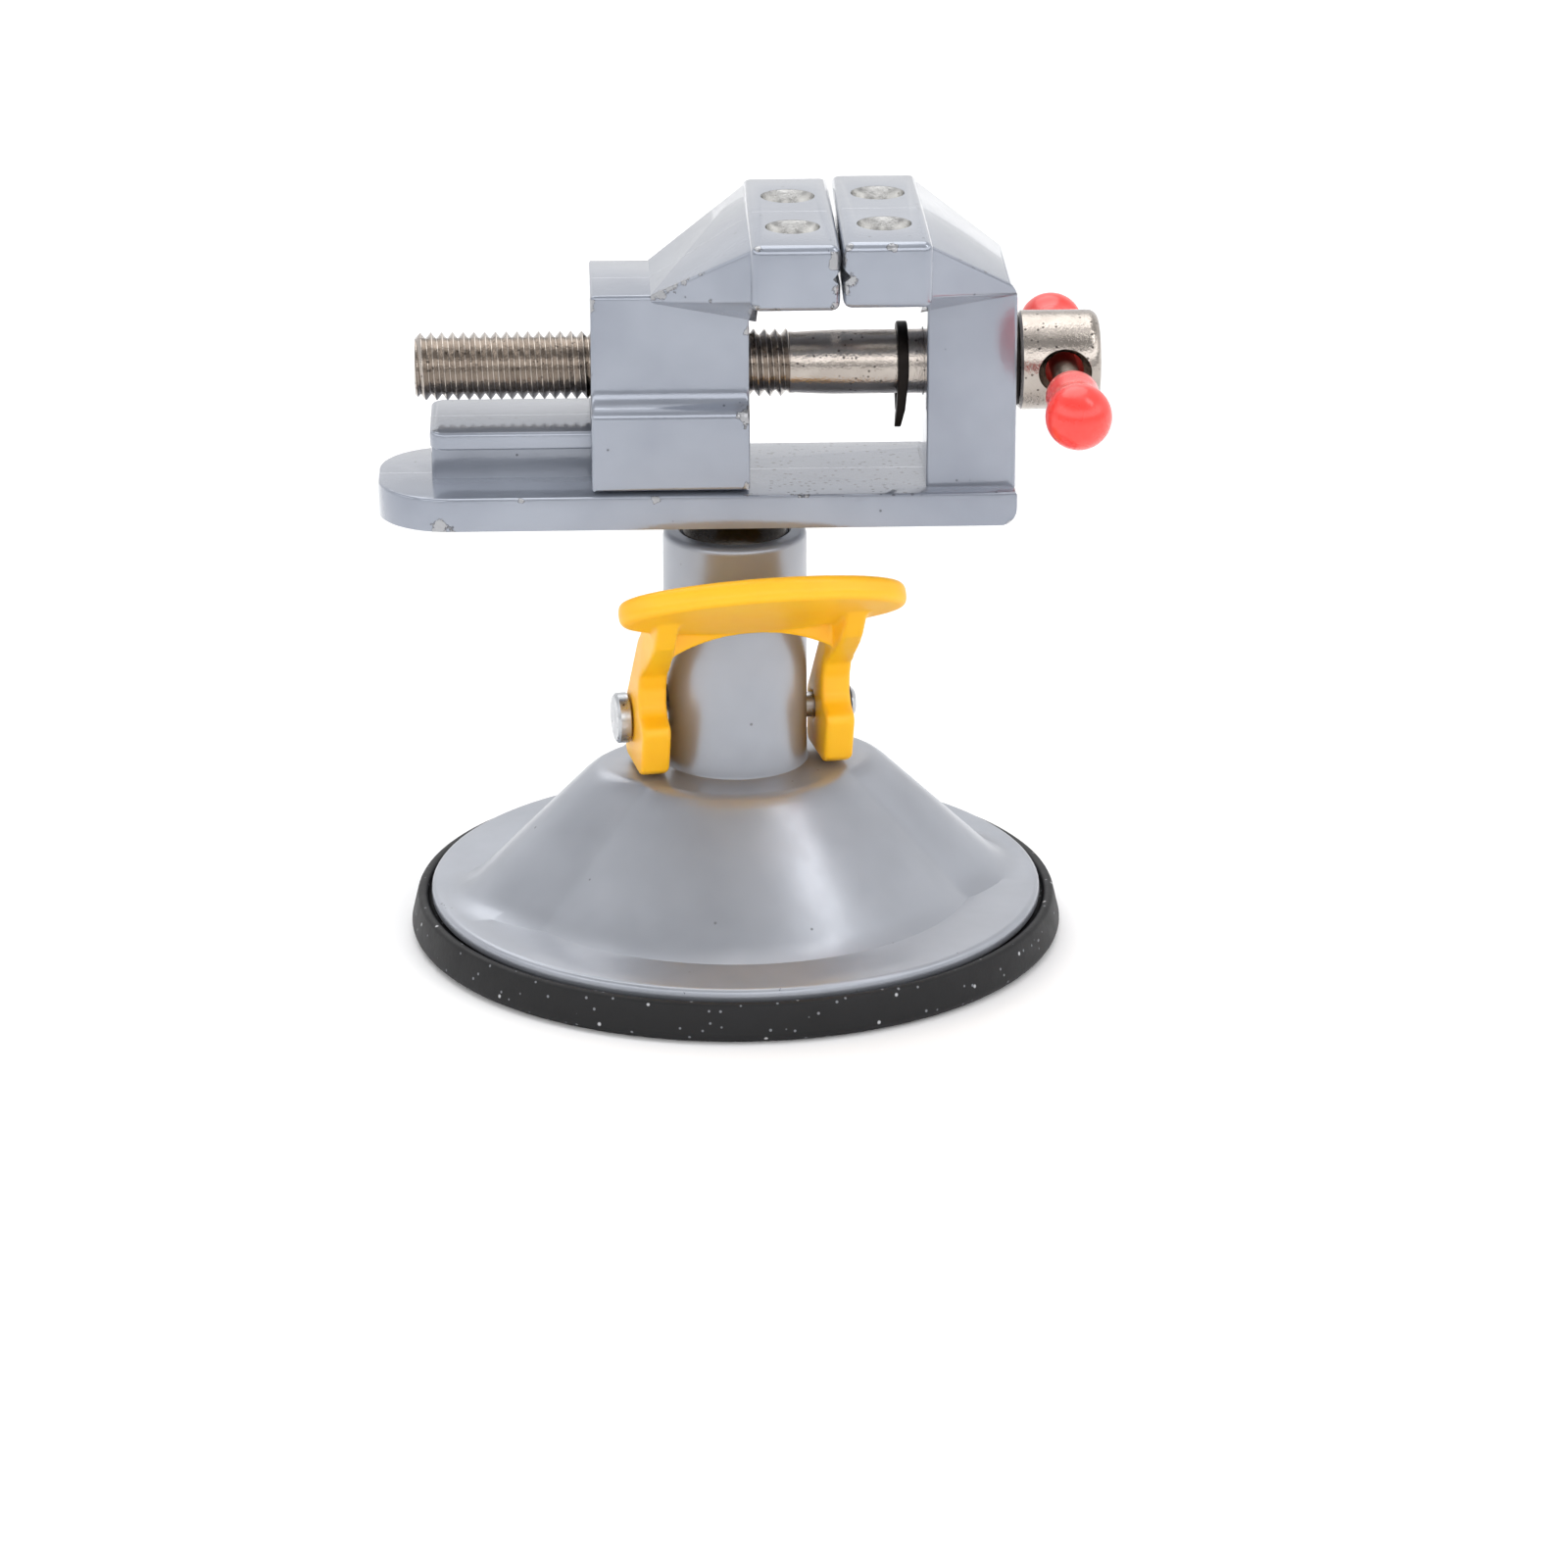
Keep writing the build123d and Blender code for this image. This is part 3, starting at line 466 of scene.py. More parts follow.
bell = {
    "flangeLow": 3.85, "flangeRadius": 36.5, "flangeTop": 5.8, "lip": 0.75,
    "foot": 28.3, "shoulder": 14.1, "shoulderTop": 21.1, "shoulderRound": 1.3,
    "wingFoot": (33.0, 19.5), "wingTop": (17.0, 10.3), "blend": 0.25,  # half lengths along and across
    "footSweep": 0.5, "sweepRise": 2.2, "ringShare": 0.3, "wall": 3.1, "roof": 18.5, "boreRoof": 35,
    "column": 8.5, "columnTop": 49.7, "mouth": 6.4, "mouthFloor": 34.0, "bore": 7.1, "ballZ": 46.63,
    "pinZ": 27.0, "slotHalf": 1.58, "slotRise": 2.9, "steps": 240,
}


def wingRadius(angle, height):
    share = (height - bell["flangeTop"]) / (bell["shoulderTop"] - bell["flangeTop"])
    long, short = [foot + (top - foot) * share for foot, top in zip(bell["wingFoot"], bell["wingTop"])]
    return long * short / sqrt((short * cos(angle)) ** 2 + (long * sin(angle)) ** 2)


def softMaximum(first, second, blend):
    gap = max(blend - abs(first - second), 0) / blend
    return max(first, second) + gap * gap * blend / 4


def bellOutline():
    low, top, lip, rim = bell["flangeLow"], bell["flangeTop"], bell["lip"], bell["flangeRadius"]
    foot, shoulder, high, turn = bell["foot"], bell["shoulder"], bell["shoulderTop"], bell["shoulderRound"]
    column, columnTop, mouth, bore = bell["column"], bell["columnTop"], bell["mouth"], bell["bore"]
    points = [(0, low), (rim - lip, low)]
    points += arcPoints((rim - lip, low + lip), lip, -90, 0, 4)[1:]
    points += arcPoints((rim - lip, top - lip), lip, 0, 90, 4)[1:]
    points += [(foot + 5.2, top), (foot + 0.35, top)]
    rise, run = high - turn - top, foot - shoulder
    for i in range(1, 17):
        share = i / 16
        points.append((foot - run * share * rise / (rise + turn), top + rise * share))
    points += [
        (shoulder + 0.35, high - 0.55), (shoulder - 0.45, high - 0.1), (shoulder - 1.3, high),
        (column + 0.6, high), (column + 0.18, high + 0.18), (column + 0.05, high + 0.6),
        (column, high + 3), (column - 0.03, columnTop - 0.9),
    ]
    points += arcPoints((column - 0.75, columnTop - 0.75), 0.72, 0, 90, 4)
    points += [
        (mouth + 0.25, columnTop), (mouth, columnTop - 0.25),
        (bore, bell["ballZ"]), (bore, bell["mouthFloor"]), (0, bell["mouthFloor"]),
    ]
    return points


def shapeWings(mesh):
    top, high, foot, shoulder = bell["flangeTop"], bell["shoulderTop"], bell["foot"], bell["shoulder"]
    for vert in mesh.verts:
        radius, height = sqrt(vert.co.x ** 2 + vert.co.y ** 2), vert.co.z
        if not (top - 0.01 <= height <= high + 0.01 and shoulder - 2 <= radius <= foot + 6):
            continue
        angle = atan2(vert.co.y, vert.co.x)
        wing = wingRadius(angle, height)
        cone = foot - (foot - shoulder) * (height - top) / (high - top)
        grown = softMaximum(cone, wing, bell["blend"]) - cone
        side = max(abs(cos(angle)) - 0.7, 0) / 0.3  # one at the wings' ends, nothing between them
        sweep = max(1 - (height - top) / bell["sweepRise"], 0) ** 2
        grown += bell["footSweep"] * side * sweep * (wing > cone)
        if radius > foot + 2:  # the flange's flat ring gives way to the wing
            grown *= bell["ringShare"]
        scale = (radius + grown) / radius
        vert.co.x *= scale
        vert.co.y *= scale


def makeBase():
    mesh = spinMesh(bellOutline(), steps=bell["steps"])
    shapeWings(mesh)
    for face in mesh.faces:
        middle = face.calc_center_median()
        radius = sqrt(middle.x ** 2 + middle.y ** 2)
        nearRim = radius > bell["flangeRadius"] - 1.2 or middle.z > bell["columnTop"] - 1.2
        face.material_index = 1 if nearRim else 0
        if radius < bell["bore"] - 0.02 and middle.z < bell["columnTop"] - 0.2:
            face.material_index = 2
    reach = bell["column"] + 3
    half, low, rise = bell["slotHalf"], bell["pinZ"], bell["slotRise"]
    outline = arcPoints((0, low), half, 180, 360, 12) + arcPoints((0, low + rise), half, 0, 180, 12)
    slotCut = prismMesh([(-reach, y, z) for y, z in outline], (2 * reach, 0, 0))
    foot, shoulder, bore = bell["foot"] - bell["wall"], bell["shoulder"] - bell["wall"], bell["bore"]
    hollow = spinMesh([(0, 2), (foot, 2), (foot, 3.8), (shoulder, bell["roof"]), (bore, bell["roof"]),
                       (bore, bell["boreRoof"]), (0, bell["boreRoof"])], steps=64)
    mesh = turnMesh(joinSolids(mesh, [hollow, slotCut], "DIFFERENCE"), baseYaw, "Z")
    finishPiece("baseCasting", mesh, "base", [bellPaint, bellEdge, ballSteel],
                ["suction_base"], sharp=32)


leverSizes = {
    "armInner": 9.3, "armOuter": 12.8, "pinZ": 27.0, "pinHole": 1.6, "foot": 21.6,
    "thumb": (-15.8, 45.25), "thumbWidth": 33.9, "thumbDepth": 16.0, "thumbThick": 2.95, "thumbRound": 1.0,
    "slope": 32.0, "archApex": 39.85, "archSpring": 37.6, "clearance": 9.05, "voxel": 0.25, "smoothing": 5,
    "web": ((-8.2, 36.6), (-8.2, 41.0), (-10.4, 41.6), (-9.9, 36.6)),  # y and z of the wall between the arms
    "ribs": (  # forward of the pin, above it, how far the rib's sides are drawn in
        ((6.6, 7.3, 0, 0), (10.5, 10.2, 0.35, 0.25), (11.4, 12.4, 0.35, 0.25), (8.0, 13.0, 0, 0),
         (5.4, 9.0, 0, 0)),
        ((10.5, 10.2, 0.35, 0.25), (13.7, 12.8, 0.55, 0.35), (17.4, 18.3, 0.75, 0.4), (9.5, 14.6, 0, 0),
         (8.0, 12.4, 0, 0)),
    ),
}


def armOutline():
    z, foot = leverSizes["pinZ"], leverSizes["foot"]
    points = [(3.0, foot + 0.8), (3.0, z + 1.5), (-5.0, z + 11.5), (-9.4, z + 15.0), (-10.4, z + 14.4)]
    points += [(-8.4, z + 11.0), (-6.7, z + 7.8), (-5.6, z + 5.2), (-5.5, z + 3.3), (-6.2, z + 2.1)]
    points += [(-8.0, z + 1.2), (-8.3, z + 0.4), (-7.9, z - 1.2), (-7.4, foot + 2.2)]
    points += [(-7.0, foot + 0.8), (-5.6, foot), (2.2, foot)]
    return points


def ribMesh(side, stations):
    inner, outer = leverSizes["armInner"], leverSizes["armOuter"]
    mesh = bmesh.new()
    for forward, rise, insideIn, outsideIn in stations:
        for x in (inner + insideIn, outer - outsideIn):
            mesh.verts.new((side * x, -forward, leverSizes["pinZ"] + rise))
    bmesh.ops.convex_hull(mesh, input=mesh.verts)
    return mesh


def thumbMesh():
    arm = leverSizes
    half, wide, deep = arm["thumbThick"] / 2, arm["thumbWidth"] / 2, arm["thumbDepth"] / 2
    oval = [(wide * cos(a * pi / 60), deep * sin(a * pi / 60), -half) for a in range(120)]
    plate = prismMesh(oval, (0, 0, arm["thumbThick"]))
    roundEdges(plate, arm["thumbRound"], 5, 60)
    turnMesh(plate, -arm["slope"], "X")
    bmesh.ops.translate(plate, vec=(0, *arm["thumb"]), verts=plate.verts)
    return plate


def makeLever():
    arm = leverSizes
    inner, outer = arm["armInner"], arm["armOuter"]
    solids = []
    for side in (-1, 1):
        start = inner if side > 0 else -outer
        sideArm = prismMesh([(start, y, z) for y, z in armOutline()], (outer - inner, 0, 0))
        solids.append(roundEdges(sideArm, 0.35, 2, 50))
        solids += [ribMesh(side, stations) for stations in arm["ribs"]]
    wall = prismMesh([(-inner - 1, y, z) for y, z in arm["web"]], (2 * inner + 2, 0, 0))
    rise = arm["archApex"] - arm["archSpring"]
    archRadius = (inner ** 2 + rise ** 2) / (2 * rise)
    arch = rodMesh(archRadius, -30, 0, "Y", (0, 0, arm["archApex"] - archRadius), 160)
    solids += [joinSolids(wall, [arch], "DIFFERENCE"), thumbMesh()]
    body = joinSolids(solids[0], solids[1:])
    hole = rodMesh(arm["pinHole"], -20, 20, "X", (0, 0, arm["pinZ"]), 48)
    clear = rodMesh(arm["clearance"], 10, 60, steps=160)  # room for the column
    thing = looseObject(joinSolids(body, [hole, clear], "DIFFERENCE"))
    remesh = thing.modifiers.new("voxels", "REMESH")
    remesh.mode, remesh.voxel_size = "VOXEL", arm["voxel"]
    mesh = bakedMesh(thing)
    bpy.data.objects.remove(thing)
    for i in range(arm["smoothing"]):
        bmesh.ops.smooth_vert(mesh, verts=mesh.verts, factor=0.5,
                              use_axis_x=True, use_axis_y=True, use_axis_z=True)
    turnMesh(mesh, baseYaw, "Z")
    finishPiece("camLever", mesh, "lever", [leverPlastic], ["lever"], sharp=60)


pinSizes = {"z": 27.0, "radius": 1.5, "headIn": 13.0, "headRadius": 3.0, "headThick": 1.6,
            "washer": 0.7, "washerRadius": 3.0, "stake": 1.9}


def makePin():
    radius, head, stake = pinSizes["radius"], pinSizes["headRadius"], pinSizes["stake"]
    washer, inner = pinSizes["washerRadius"], pinSizes["headIn"]
    start, outer = -inner - pinSizes["headThick"], inner + pinSizes["washer"]
    end, centre = outer + 0.8, (0, 0, pinSizes["z"])
    outline = [
        (0, start), (head - 0.35, start), (head, start + 0.3), (head, -inner - 0.15), (head - 0.15, -inner),
        (radius, -inner), (radius, outer), (stake, outer), (stake, outer + 0.3), (stake - 0.5, end - 0.05),
        (0, end),
    ]
    mesh = turnMesh(spinMesh(outline, "X", centre, 64), baseYaw, "Z")
    finishPiece("leverCrossPin", mesh, "plunger", [zincPlate], ["lever_pin"])
    ring = [(radius + 0.02, inner), (washer, inner), (washer, outer - 0.25), (washer - 0.3, outer),
            (radius + 0.02, outer), (radius + 0.02, inner)]
    mesh = turnMesh(spinMesh(ring, "X", centre, 64), baseYaw, "Z")
    finishPiece("pinPushWasher", mesh, "plunger", [blackSteel], ["pin_end_washer"])


jaw = {"half": 16.0, "thick": 10.2, "height": 7.7, "round": 1.0, "groove": 0.9, "bodyHalf": 8.05,
       "holeSpacing": 14.0, "holeRadius": 2.5, "mouth": 3.15, "threadPitch": 1.0, "threadSteps": 40,
       "plainMouth": 1.7, "dropLow": 1.2}


def jawBlock(left, right, low, top, face):
    mesh = blockMesh((left, -jaw["half"], low), (right, jaw["half"], top))
    roundEdges(mesh, jaw["round"], 4, slot=1)
    side = jaw["groove"] * sqrt(2)
    notch = blockMesh((-side / 2, -jaw["half"] - 1, -side / 2), (side / 2, jaw["half"] + 1, side / 2))
    turnMesh(notch, 45, "Y")
    bmesh.ops.translate(notch, vec=(face, 0, (low + top) / 2), verts=notch.verts)
    return joinSolids(mesh, [notch], "DIFFERENCE")


def gussetMesh(xJaw, xOut, top, low, root, outTop):
    inner, half = jaw["bodyHalf"], jaw["half"] - 0.4
    edgeLow = low + jaw["dropLow"]
    wide = [(inner - 0.5, root), (half, edgeLow), (half, top - 0.12)]
    narrow = [(inner - 0.5, outTop - 1.2), (inner + 0.04, outTop - 0.8), (inner + 0.04, outTop)]
    sections = []
    for x, points in ((xJaw, wide), (xOut, narrow)):
        both = points + [(-y, z) for y, z in reversed(points)]
        sections.append([(x, y, z) for y, z in both])
    return loftMesh(*sections)


def jawHoleCutters(x, top, depth):
    cutters = []
    for side in (-1, 1):
        r, mouth = jaw["holeRadius"] + 0.45, jaw["mouth"]
        outline = [(0, top - depth - 1), (r, top - depth - 1), (r, top - (mouth - r) - 0.25),
                   (mouth, top - 0.05), (mouth + 0.05, top + 1), (0, top + 1)]
        mesh = spinMesh(outline, "Z", (x, side * jaw["holeSpacing"] / 2, 0), 72)
        cutters.append(setSlot(mesh, 2))
    return cutters


def tappedThread(x, y, top, depth):
    pitch, core = jaw["threadPitch"], jaw["holeRadius"]
    low, outer = top - depth, core + 0.5
    profile = [(outer, 0), (outer, 0.12), (core, 0.44), (core, 0.58), (outer, 0.9), (outer, 1.0)]
    points = [(x + r, y, low + h * pitch) for r, h in profile]
    turns = int((depth - jaw["plainMouth"]) / pitch)
    mesh = helixMesh(points, (x, y, 0), (0, 0, 1), pitch, turns, jaw["threadSteps"])
    bmesh.ops.solidify(mesh, geom=mesh.faces, thickness=0.12)
    return mesh


def addThreads(name, x, top, depth, body):
    both = bmesh.new()
    for side in (-1, 1):
        mesh = tappedThread(x, side * jaw["holeSpacing"] / 2, top, depth)
        data = bpy.data.meshes.new("thread")
        mesh.to_mesh(data)
        both.from_mesh(data)
        bpy.data.meshes.remove(data)
    bmesh.ops.recalc_face_normals(both, faces=both.faces)
    finishPiece(name, both, body, [bareThread], sharp=50)


viseLow, viseHigh = boxOf("vise_body")
vise = {
    "left": viseLow.x, "right": viseHigh.x, "low": viseLow.z, "thick": 4.0, "half": 10.6, "endRound": 8.5,
    "cornerRound": 2.0, "railLeft": -35.5, "railRight": -4.5, "neckHalf": 2.4, "neckHeight": 4.7,
    "headHalf": 7.1, "headHeight": 2.2, "uprightThick": 10.4, "uprightFillet": 2.2,
    "jawLeft": 11.9, "jawTop": viseHigh.z, "slopeOut": 80.8, "gussetRoot": 77.7, "shoulderRound": 3.2,
}


def plateMesh():
    left, right, half, bend = vise["left"], vise["right"], vise["half"], vise["endRound"]
    low = vise["low"]
    outline = [(right, half), *arcPoints((left + bend, half - bend), bend, 90, 180, 14),
               *arcPoints((left + bend, -half + bend), bend, 180, 270, 14), (right, -half)]
    mesh = prismMesh([(x, y, low) for x, y in outline], (0, 0, vise["thick"]))
    atEnd = lambda middle, e: middle.x > right - 0.01 and abs(middle.z - low) < 0.01
    roundEdges(mesh, vise["cornerRound"], 6, wanted=atEnd, slot=0)
    level = lambda middle, e: middle.z < low + 0.01 and middle.x < right - 2.5
    roundEdges(mesh, 0.55, 3, 40, wanted=level, slot=1)
    rim = lambda middle, e: middle.z > low + vise["thick"] - 0.01
    roundEdges(mesh, 0.35, 3, 40, wanted=rim, slot=1)
    return mesh


def railMesh():
    top = vise["low"] + vise["thick"]
    neck = blockMesh((vise["railLeft"] + 0.1, -vise["neckHalf"], top - 0.5),
                     (vise["railRight"], vise["neckHalf"], top + vise["neckHeight"] + 0.5))
    upright = lambda middle, e: runOf(e, 2) > 1
    roundEdges(neck, 0.6, 3, wanted=upright, slot=1)
    head = blockMesh((vise["railLeft"], -vise["headHalf"], top + vise["neckHeight"]),
                     (vise["railRight"], vise["headHalf"], top + vise["neckHeight"] + vise["headHeight"]))
    corner = lambda middle, e: runOf(e, 2) > 1 and middle.x < vise["railLeft"] + 1
    roundEdges(head, 1.8, 6, wanted=corner, slot=0)
    roundEdges(head, 0.5, 3, 40, slot=1)
    return [neck, head]


def shoulderCutter():
    right, top, turn = vise["right"], vise["jawTop"], vise["shoulderRound"]
    jawRight = vise["jawLeft"] + jaw["thick"]
    slope = atan2(top - vise["slopeOut"], right - jawRight + 0.9)
    back = turn * tan((pi / 2 - slope) / 2)  # from the corner down to where the round begins
    arc = arcPoints((right - turn, vise["slopeOut"] - back), turn, 0, 90 - degrees(slope), 10)
    start, end = arc[0], arc[-1]
    outline = arc + [(end[0], end[1] + 4), (start[0] + 3, end[1] + 4), (start[0] + 3, start[1])]
    reach = jaw["half"] + 2
    return prismMesh([(x, -reach, z) for x, z in outline], (0, 2 * reach, 0))


def makeVise():
    right, top = vise["right"], vise["low"] + vise["thick"]
    left = right - vise["uprightThick"]
    half = jaw["bodyHalf"]
    jawRight = vise["jawLeft"] + jaw["thick"]
    jawLow = vise["jawTop"] - jaw["height"]
    upright = blockMesh((left, -half, top - 1), (right, half, vise["slopeOut"] - 0.6))
    sides = lambda middle, e: runOf(e, 2) > 5
    roundEdges(upright, 0.45, 3, wanted=sides, slot=1)
    stem = joinSolids(plateMesh(), [upright])
    root = lambda middle, e: (abs(middle.z - top) < 0.02 and left - 0.1 < middle.x < right - 0.6
                              and abs(middle.y) < half + 0.1)
    roundEdges(stem, vise["uprightFillet"], 6, 30, wanted=root, slot=0)
    gusset = gussetMesh(jawRight - 0.9, right, vise["jawTop"], jawLow, vise["gussetRoot"], vise["slopeOut"])
    crease = lambda middle, e: jawRight - 0.8 < middle.x < right - 0.05
    roundEdges(gusset, 0.3, 3, 12, wanted=crease, slot=1)
    block = jawBlock(vise["jawLeft"], jawRight, jawLow, vise["jawTop"], vise["jawLeft"])
    body = joinSolids(stem, [*railMesh(), gusset, block])
    screwZ, bore = screw["z"], screw["shank"] + 0.25
    boreCut = setSlot(rodMesh(bore, left - 1, right + 1, "X", (0, 0, screwZ)), 2)
    middle = vise["jawLeft"] + jaw["thick"] / 2
    cutters = [shoulderCutter(), boreCut] + jawHoleCutters(middle, vise["jawTop"], jaw["height"])
    body = joinSolids(body, cutters, "DIFFERENCE")
    finishPiece("viseBody", body, "head", [headPaint, headEdge, bareThread],
                ["vise_body"], sharp=30)
    addThreads("fixedJawThreads", middle, vise["jawTop"], jaw["height"], "head")


slideLow, slideHigh = boxOf("sliding_jaw")
slide = {
    "left": slideLow.x, "right": 1.5, "low": slideLow.z, "top": 80.2, "flat": 7.0, "lowHalf": 10.0,
    "jawRight": slideHigh.x, "jawTop": slideHigh.z, "fit": 0.2, "gussetRoot": 76.8,
    "bore": 4.03,
    "bend": (  # soft S from the wide foot up to the upper face: half width, height
        (10.0, 65.9), (9.95, 66.25), (9.8, 66.6), (9.52, 66.9), (9.15, 67.14), (8.8, 67.4), (8.5, 67.75),
        (8.28, 68.2), (8.14, 68.7), (8.07, 69.3), (8.05, 69.9)),
}


def makeSlidingJaw():
    low, top = slide["low"], slide["top"]
    upper, lower = jaw["bodyHalf"], slide["lowHalf"]
    side = [(lower, low), *slide["bend"], (upper, top)]
    outline = side + [(-y, z) for y, z in reversed(side)]
    body = prismMesh([(slide["left"], y, z) for y, z in outline], (slide["right"] - slide["left"], 0, 0))
    ends = lambda middle, e: runOf(e, 0) < 0.01
    roundEdges(body, 0.5, 3, 30, wanted=ends, slot=1)
    longEdges = lambda middle, e: runOf(e, 0) > 5
    roundEdges(body, 0.5, 3, 50, wanted=longEdges, slot=1)
    jawLeft = slide["jawRight"] - jaw["thick"]
    jawLow = slide["jawTop"] - jaw["height"]
    xOut = slide["left"] + slide["flat"]
    gusset = gussetMesh(jawLeft + 0.9, xOut, slide["jawTop"], jawLow, slide["gussetRoot"], top)
    crease = lambda middle, e: xOut + 0.1 < middle.x < jawLeft + 0.8
    roundEdges(gusset, 0.3, 3, 12, wanted=crease, slot=1)
    block = jawBlock(jawLeft, slide["jawRight"], jawLow, slide["jawTop"], slide["jawRight"])
    mesh = joinSolids(body, [gusset, block])
    railTop = vise["low"] + vise["thick"] + vise["neckHeight"] + vise["headHeight"]
    neckTop = railTop - vise["headHeight"]
    fit = slide["fit"]
    start, end = slide["left"] - 1, slide["right"] + 1
    neckHalf, headHalf = vise["neckHalf"] + fit, vise["headHalf"] + fit
    neck = blockMesh((start, -neckHalf, low - 1), (end, neckHalf, railTop))
    head = blockMesh((start, -headHalf, neckTop - fit), (end, headHalf, railTop + fit))
    bore = setSlot(rodMesh(slide["bore"], start, end, "X", (0, 0, screw["z"])), 2)
    middle = slide["jawRight"] - jaw["thick"] / 2
    cutters = [neck, head, bore] + jawHoleCutters(middle, slide["jawTop"], jaw["height"])
    mesh = joinSolids(mesh, cutters, "DIFFERENCE")
    finishPiece("slidingJaw", mesh, "sliding_jaw", [headPaint, headEdge, bareThread],
                ["sliding_jaw"], sharp=30)
    addThreads("slidingJawThreads", middle, slide["jawTop"], jaw["height"], "sliding_jaw")


screwLow, screwHigh = boxOf("lead_screw")
screw = {
    "z": 69.8, "left": screwLow.x, "threadRight": 6.3, "crest": 3.95, "root": 3.25, "pitch": 1.25,
    "turnSteps": 48, "shank": 3.75, "grooveX": 19.0, "grooveWide": 0.9, "grooveRadius": 3.0, "headLeft": 33.1,
    "headRadius": 5.8, "right": screwHigh.x, "headRound": 1.3, "barX": 38.2, "barHole": 2.25,
}


def threadMesh():
    s = screw
    pitch, z, root, crest = s["pitch"], s["z"], s["root"], s["crest"]
    profile = [(root, 0), (root, 0.06), (crest - 0.06, 0.46), (crest, 0.5), (crest, 0.56),
               (crest - 0.06, 0.6), (root, 1.0)]
    start = s["left"] - 2 * pitch
    points = [(start + h * pitch, 0, z + r) for r, h in profile]
    turns = int((s["threadRight"] - s["left"]) / pitch) + 5
    mesh = helixMesh(points, (0, 0, z), (1, 0, 0), pitch, turns, s["turnSteps"])
    for place, normal in ((s["left"], (-1, 0, 0)), (s["threadRight"], (1, 0, 0))):
        everything = list(mesh.verts) + list(mesh.edges) + list(mesh.faces)
        bmesh.ops.bisect_plane(mesh, geom=everything, plane_co=(place, 0, 0), plane_no=normal,
                               clear_outer=True, dist=1e-4)
    bmesh.ops.holes_fill(mesh, edges=[e for e in mesh.edges if e.is_boundary], sides=0)
    bmesh.ops.recalc_face_normals(mesh, faces=mesh.faces)
    return mesh


def makeScrew():
    s = screw
    centre, left, seam, right = (0, 0, s["z"]), s["left"], s["threadRight"], s["right"]
    root, shank, head, turn = s["root"], s["shank"], s["headRadius"], s["headRound"]
    inner = s["headLeft"]
    near, far, groove = s["grooveX"], s["grooveX"] + s["grooveWide"], s["grooveRadius"]
    tip = spinMesh([(0, left - 1), (root + 0.05, left), (root + 1.5, left + 1.45), (root + 1.5, seam + 1),
                    (0, seam + 1)], "X", centre, 96)
    thread = joinSolids(threadMesh(), [tip], "INTERSECT")
    rod = spinMesh([
        (0, seam - 0.4), (root, seam - 0.4), (shank - 0.16, seam + 0.1), (shank - 0.2, seam + 0.8),
        (shank - 0.06, seam + 3.4), (shank, seam + 5.5), (shank, near - 0.15), (shank - 0.15, near),
        (groove, near), (groove, far), (shank - 0.15, far), (shank, far + 0.15),
        (shank, inner + 0.5), (0, inner + 0.5)], "X", centre, 96)
    outline = [(0, inner), (head - 0.3, inner), (head, inner + 0.3), (head, right - turn)]
    outline += arcPoints((head - turn, right - turn), turn, 0, 90, 6)[1:] + [(0, right)]
    hole, flare = s["barHole"], s["headRadius"] - 0.95
    across = spinMesh([(0, -8), (hole + 2.2, -8), (hole + 0.55, -flare - 0.45), (hole, -flare + 0.1),
                       (hole, flare - 0.1), (hole + 0.55, flare + 0.45), (hole + 2.2, 8), (0, 8)], "Y",
                      (s["barX"], 0, s["z"]), 72)
    knob = joinSolids(spinMesh(outline, "X", centre, 128), [across], "DIFFERENCE")
    mesh = joinSolids(rod, [knob, thread])
    finishPiece("leadScrew", mesh, "screw", [nickel], ["lead_screw"], sharp=28)


clip = {
    "x": 18.85, "thick": 1.3, "radius": 4.7, "inner": 3.06, "earDrop": 7.0, "earHalf": 4.8, "mouth": 2.8,
    "lean": (0.7, 0.15), "thinning": 0.45, "legTop": 2.6, "legLong": 4.8,  # near leg's lean first
}


def makeClip():
    c = clip
    z, tip = screw["z"], screw["z"] - c["earDrop"]
    leg = [(c["earHalf"] - 0.1, z - 4.6), (c["earHalf"] - 0.9, tip + 0.25), (c["mouth"] + 0.55, tip),
           (c["mouth"] - 0.1, tip + 0.9), (c["mouth"] - 0.2, z - 3.1)]
    points = arcPoints((0, z), c["radius"], -8, 188, 28) + [(-y, h) for y, h in leg]
    points += arcPoints((0, z), c["inner"], 222, -42, 30) + leg[::-1]
    mesh = prismMesh([(c["x"] + 0.03, y, h) for y, h in points], (c["thick"] - 0.06, 0, 0))
    roundEdges(mesh, 0.14, 2, 50)
    centreX = c["x"] + c["thick"] / 2
    for vert in mesh.verts:  # the legs lean and thin towards their ends
        fall = max(z - c["legTop"] - vert.co.z, 0) / c["legLong"]
        lean = c["lean"][0] if vert.co.y < 0 else c["lean"][1]
        vert.co.x = centreX + (vert.co.x - centreX) * (1 - c["thinning"] * fall) - lean * fall
    finishPiece("retainingClip", mesh, "screw", [blackSteel], ["screw_retaining_clip"])
    low, high = boxOf("screw_thrust_washer")
    inner, outer = screw["shank"] + 0.08, high.y
    ring = [(inner, low.x), (outer - 0.1, low.x), (outer, low.x + 0.12), (outer, high.x - 0.12),
            (outer - 0.1, high.x), (inner, high.x), (inner, low.x)]
    mesh = spinMesh(ring, "X", (0, 0, z), 96)
    finishPiece("thrustWasher", mesh, "screw", [blackSteel], ["screw_thrust_washer"])


bar = {"x": 38.2, "radius": 1.6, "near": -23.5, "far": 15.0, "ball": 3.8, "sleeve": 3.1, "sleeveLong": 8.5,
       "socket": 6.5}


